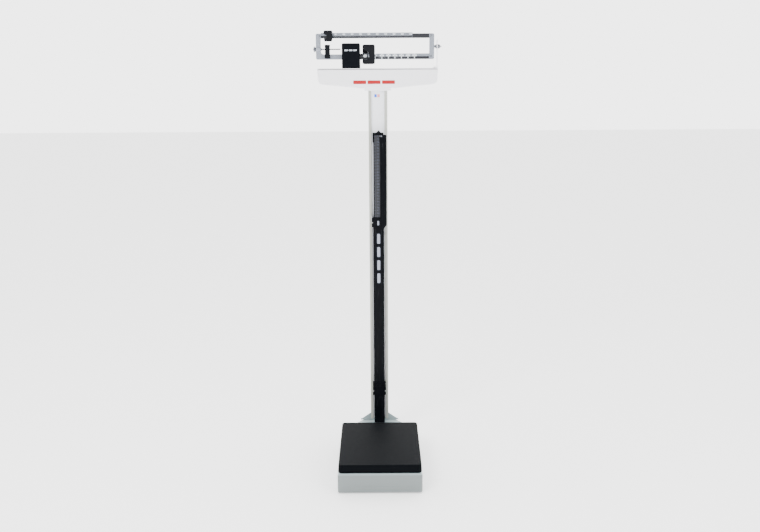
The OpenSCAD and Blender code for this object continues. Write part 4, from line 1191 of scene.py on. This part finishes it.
def make_rods():
    make_tube("middle_rod_tube", "middle_rod", rod_black, "middle_rod", 1.2)
    front = make_tube("scale_rod_tube", "scale_rod", scale_black, "scale_rod", 1.0)
    face = front - 0.06
    first, step, strip_top, fine_top, eighth_inch = 352.0, 10.0, 1085.5, 1058, 3.175
    top_of_bracket, height_there = 808.5, 99.05
    count = int((strip_top - first) / step) + 1
    panel = Shape().patch(rounded(-12.6, 6.2, first - 6, strip_top, 0.5, 2), front, 0.04, 0.2, 0.02)
    make("scale_rod_panel", panel, panel_ink, "scale_rod")
    mark_row("scale_rod_marks", rod_ink, "scale_rod", "scale_print", count * 2 - 1, (-11.8, face, first),
             (0, 0, step / 2), (2.6, 0.12, 0.7), 2, (1.8, 1, 1.3), (1, 0, 0))
    fine_count = int((fine_top - first) / eighth_inch)
    mark_row("scale_rod_fine_marks", rod_ink, "scale_rod", "scale_print", fine_count, (13.6, face, first),
             (0, 0, eighth_inch), (2.4, 0.12, 0.5), 8, (2.2, 1, 1.6), (-1.2, 0, 0))
    heights = [first + k * step for k in range(count)]
    numbers = [(str(round(height_there + (top_of_bracket - z) / 10)), -0.6, z) for z in heights]
    digits = lettering(numbers, 9.4, 0.05, front - 0.09)
    make("scale_rod_numbers", digits, rod_ink, "scale_rod")


def make_rod_head():
    low, high = place("rod_head")
    half, top, front, hinge = -low.x, high.z - 7, 158.3, (HINGE_Y, HINGE_Z)
    rod_low, rod_high = place("scale_rod")
    shape = Shape()
    plain = [(-half, low.z), (half, low.z), (half, top), (9, top), (3.8, high.z), (0.2, high.z), (-6, top),
             (-half, top)]
    shape.slab(softened(plain, [2, 2, 2, 4, 1.5, 1.5, 4, 2], 4), front, high.y, "y", 1.2, 4)
    rod_space = Shape().block(rod_low.x, rod_high.x, rod_low.y, rod_high.y, low.z - 1, rod_high.z, 0.01)
    window = Shape().block(rod_low.x, 4.5, front - 1, rod_high.y - 2, low.z - 1, top - 7, 0.01)
    shape = cut_away(shape, rod_space, window)
    knuckle = arc(*hinge, 4.2, 90, 270, 12) + [(front + 1, HINGE_Z - 4.2), (front + 1, HINGE_Z + 4.2)]
    arm_low, arm_high = place("measuring_arm")
    shape.slab(knuckle, arm_low.x + 2, arm_high.x - 2, "x", 0.4, 2)
    make("rod_head_cap", shape, rod_black, "scale_rod", ["rod_head"], 42)
    pin = Shape()
    pin_low, pin_high = place("hinge_pin")
    pin.lathe([(pin_low.x + 0.4, 1.5), (pin_high.x - 0.4, 1.5)], hinge, "x", 24)
    for inner, outer in ((pin_low.x + 1.2, pin_low.x), (pin_high.x - 1.2, pin_high.x)):
        pin.lathe([(inner, 2.6), ((inner + outer) / 2, 2.5), (outer, 1.6)], hinge, "x", 24)
    make("hinge_pin_shaft", pin, zinc, "scale_rod", ["hinge_pin"])


def make_arm():
    """A folded blade: a flat face with a flange down each side, and a cut corner at its tip."""
    low, high = place("measuring_arm")
    left, right, tip, front = low.x, high.x, low.z, low.y
    sheet, top, back = 1.5, HINGE_Z + 3.5, HINGE_Y + 3.5
    shape = Shape()
    plain = [(left, tip + 4), (left + 2, tip), (right - 10, tip), (right, tip + 12), (right, top),
             (left, top)]
    shape.slab(softened(plain, [1.5, 1.5, 2, 2, 3, 3], 4), front, front + sheet, "y", 0.6, 3)
    side = [(front + 0.3, tip + 12), (front + 5, tip + 14), (back, HINGE_Z - 40), (back, HINGE_Z + 2),
            (back - 2, HINGE_Z + 4), (front + 0.3, top - 0.5)]
    outline = softened(side, [1, 2, 30, 1.5, 1.5, 1], 4)
    for x in (left, right - sheet):
        shape.slab(outline, x, x + sheet, "x", 0.35, 2)
    shape.patch(rounded(left + 6.5, right - 6.5, tip + 26, HINGE_Z - 24, 2.4, 5), front, 0.35, 0.8, 0.35, 3)
    make("arm_blade", shape, rod_black, "measuring_arm", ["measuring_arm"], 42)
    scatter("arm_rivet_head", rivet_part("arm_rivet_dome", 2.9, 1.0), [(11, front, HINGE_Z)], "front", plated,
            "measuring_arm", "zinc_screws", ["arm_rivet"], 9)


# ---------------------------------------------------------------- CAD pieces that stay

def paint_cad_nodes():
    """The hidden works keep their CAD shape and get a real finish."""
    finishes = {
        bearing_steel: ["lever_stands", "fulcrum_bearings", "long_lever_pivots", "nose_iron",
                        "short_lever_pivots", "platform_shoes", "shelf_lever_pivots", "fulcrum_pivot",
                        "load_pivot", "poise_pawl", "poise_spring", "rod_friction_spring"],
        stand_steel: ["shelf_lever_stand", "fulcrum_stand", "lever_stirrup", "steelyard_rod", "beam_link",
                      "platform_plate"],
        lever_iron: ["long_lever", "short_lever", "shelf_lever"],
    }
    for finish, nodes in finishes.items():
        for node in nodes:
            slots = frame["nodes"][node].data.materials
            slots.clear()
            slots.append(finish.material)


def make_floor():
    bpy.ops.mesh.primitive_plane_add(size=30)
    floor = bpy.context.object
    floor.name = "studio_floor"
    floor.data.materials.append(floor_surface().material)


for step in (set_camera, set_light, make_floor, make_base, make_feet, make_platform, make_column,
             make_column_foot, make_label, make_shelf, make_fulcrum_cover, make_trig_loop, make_beam_frame,
             make_beam_end, make_main_bar, make_fractional_bar, make_beam_fixings, make_balance_screw,
             make_balance_weight, make_main_poise, make_fractional_poise, make_case, make_brackets,
             make_rods, make_rod_head, make_arm, paint_cad_nodes):
    step()
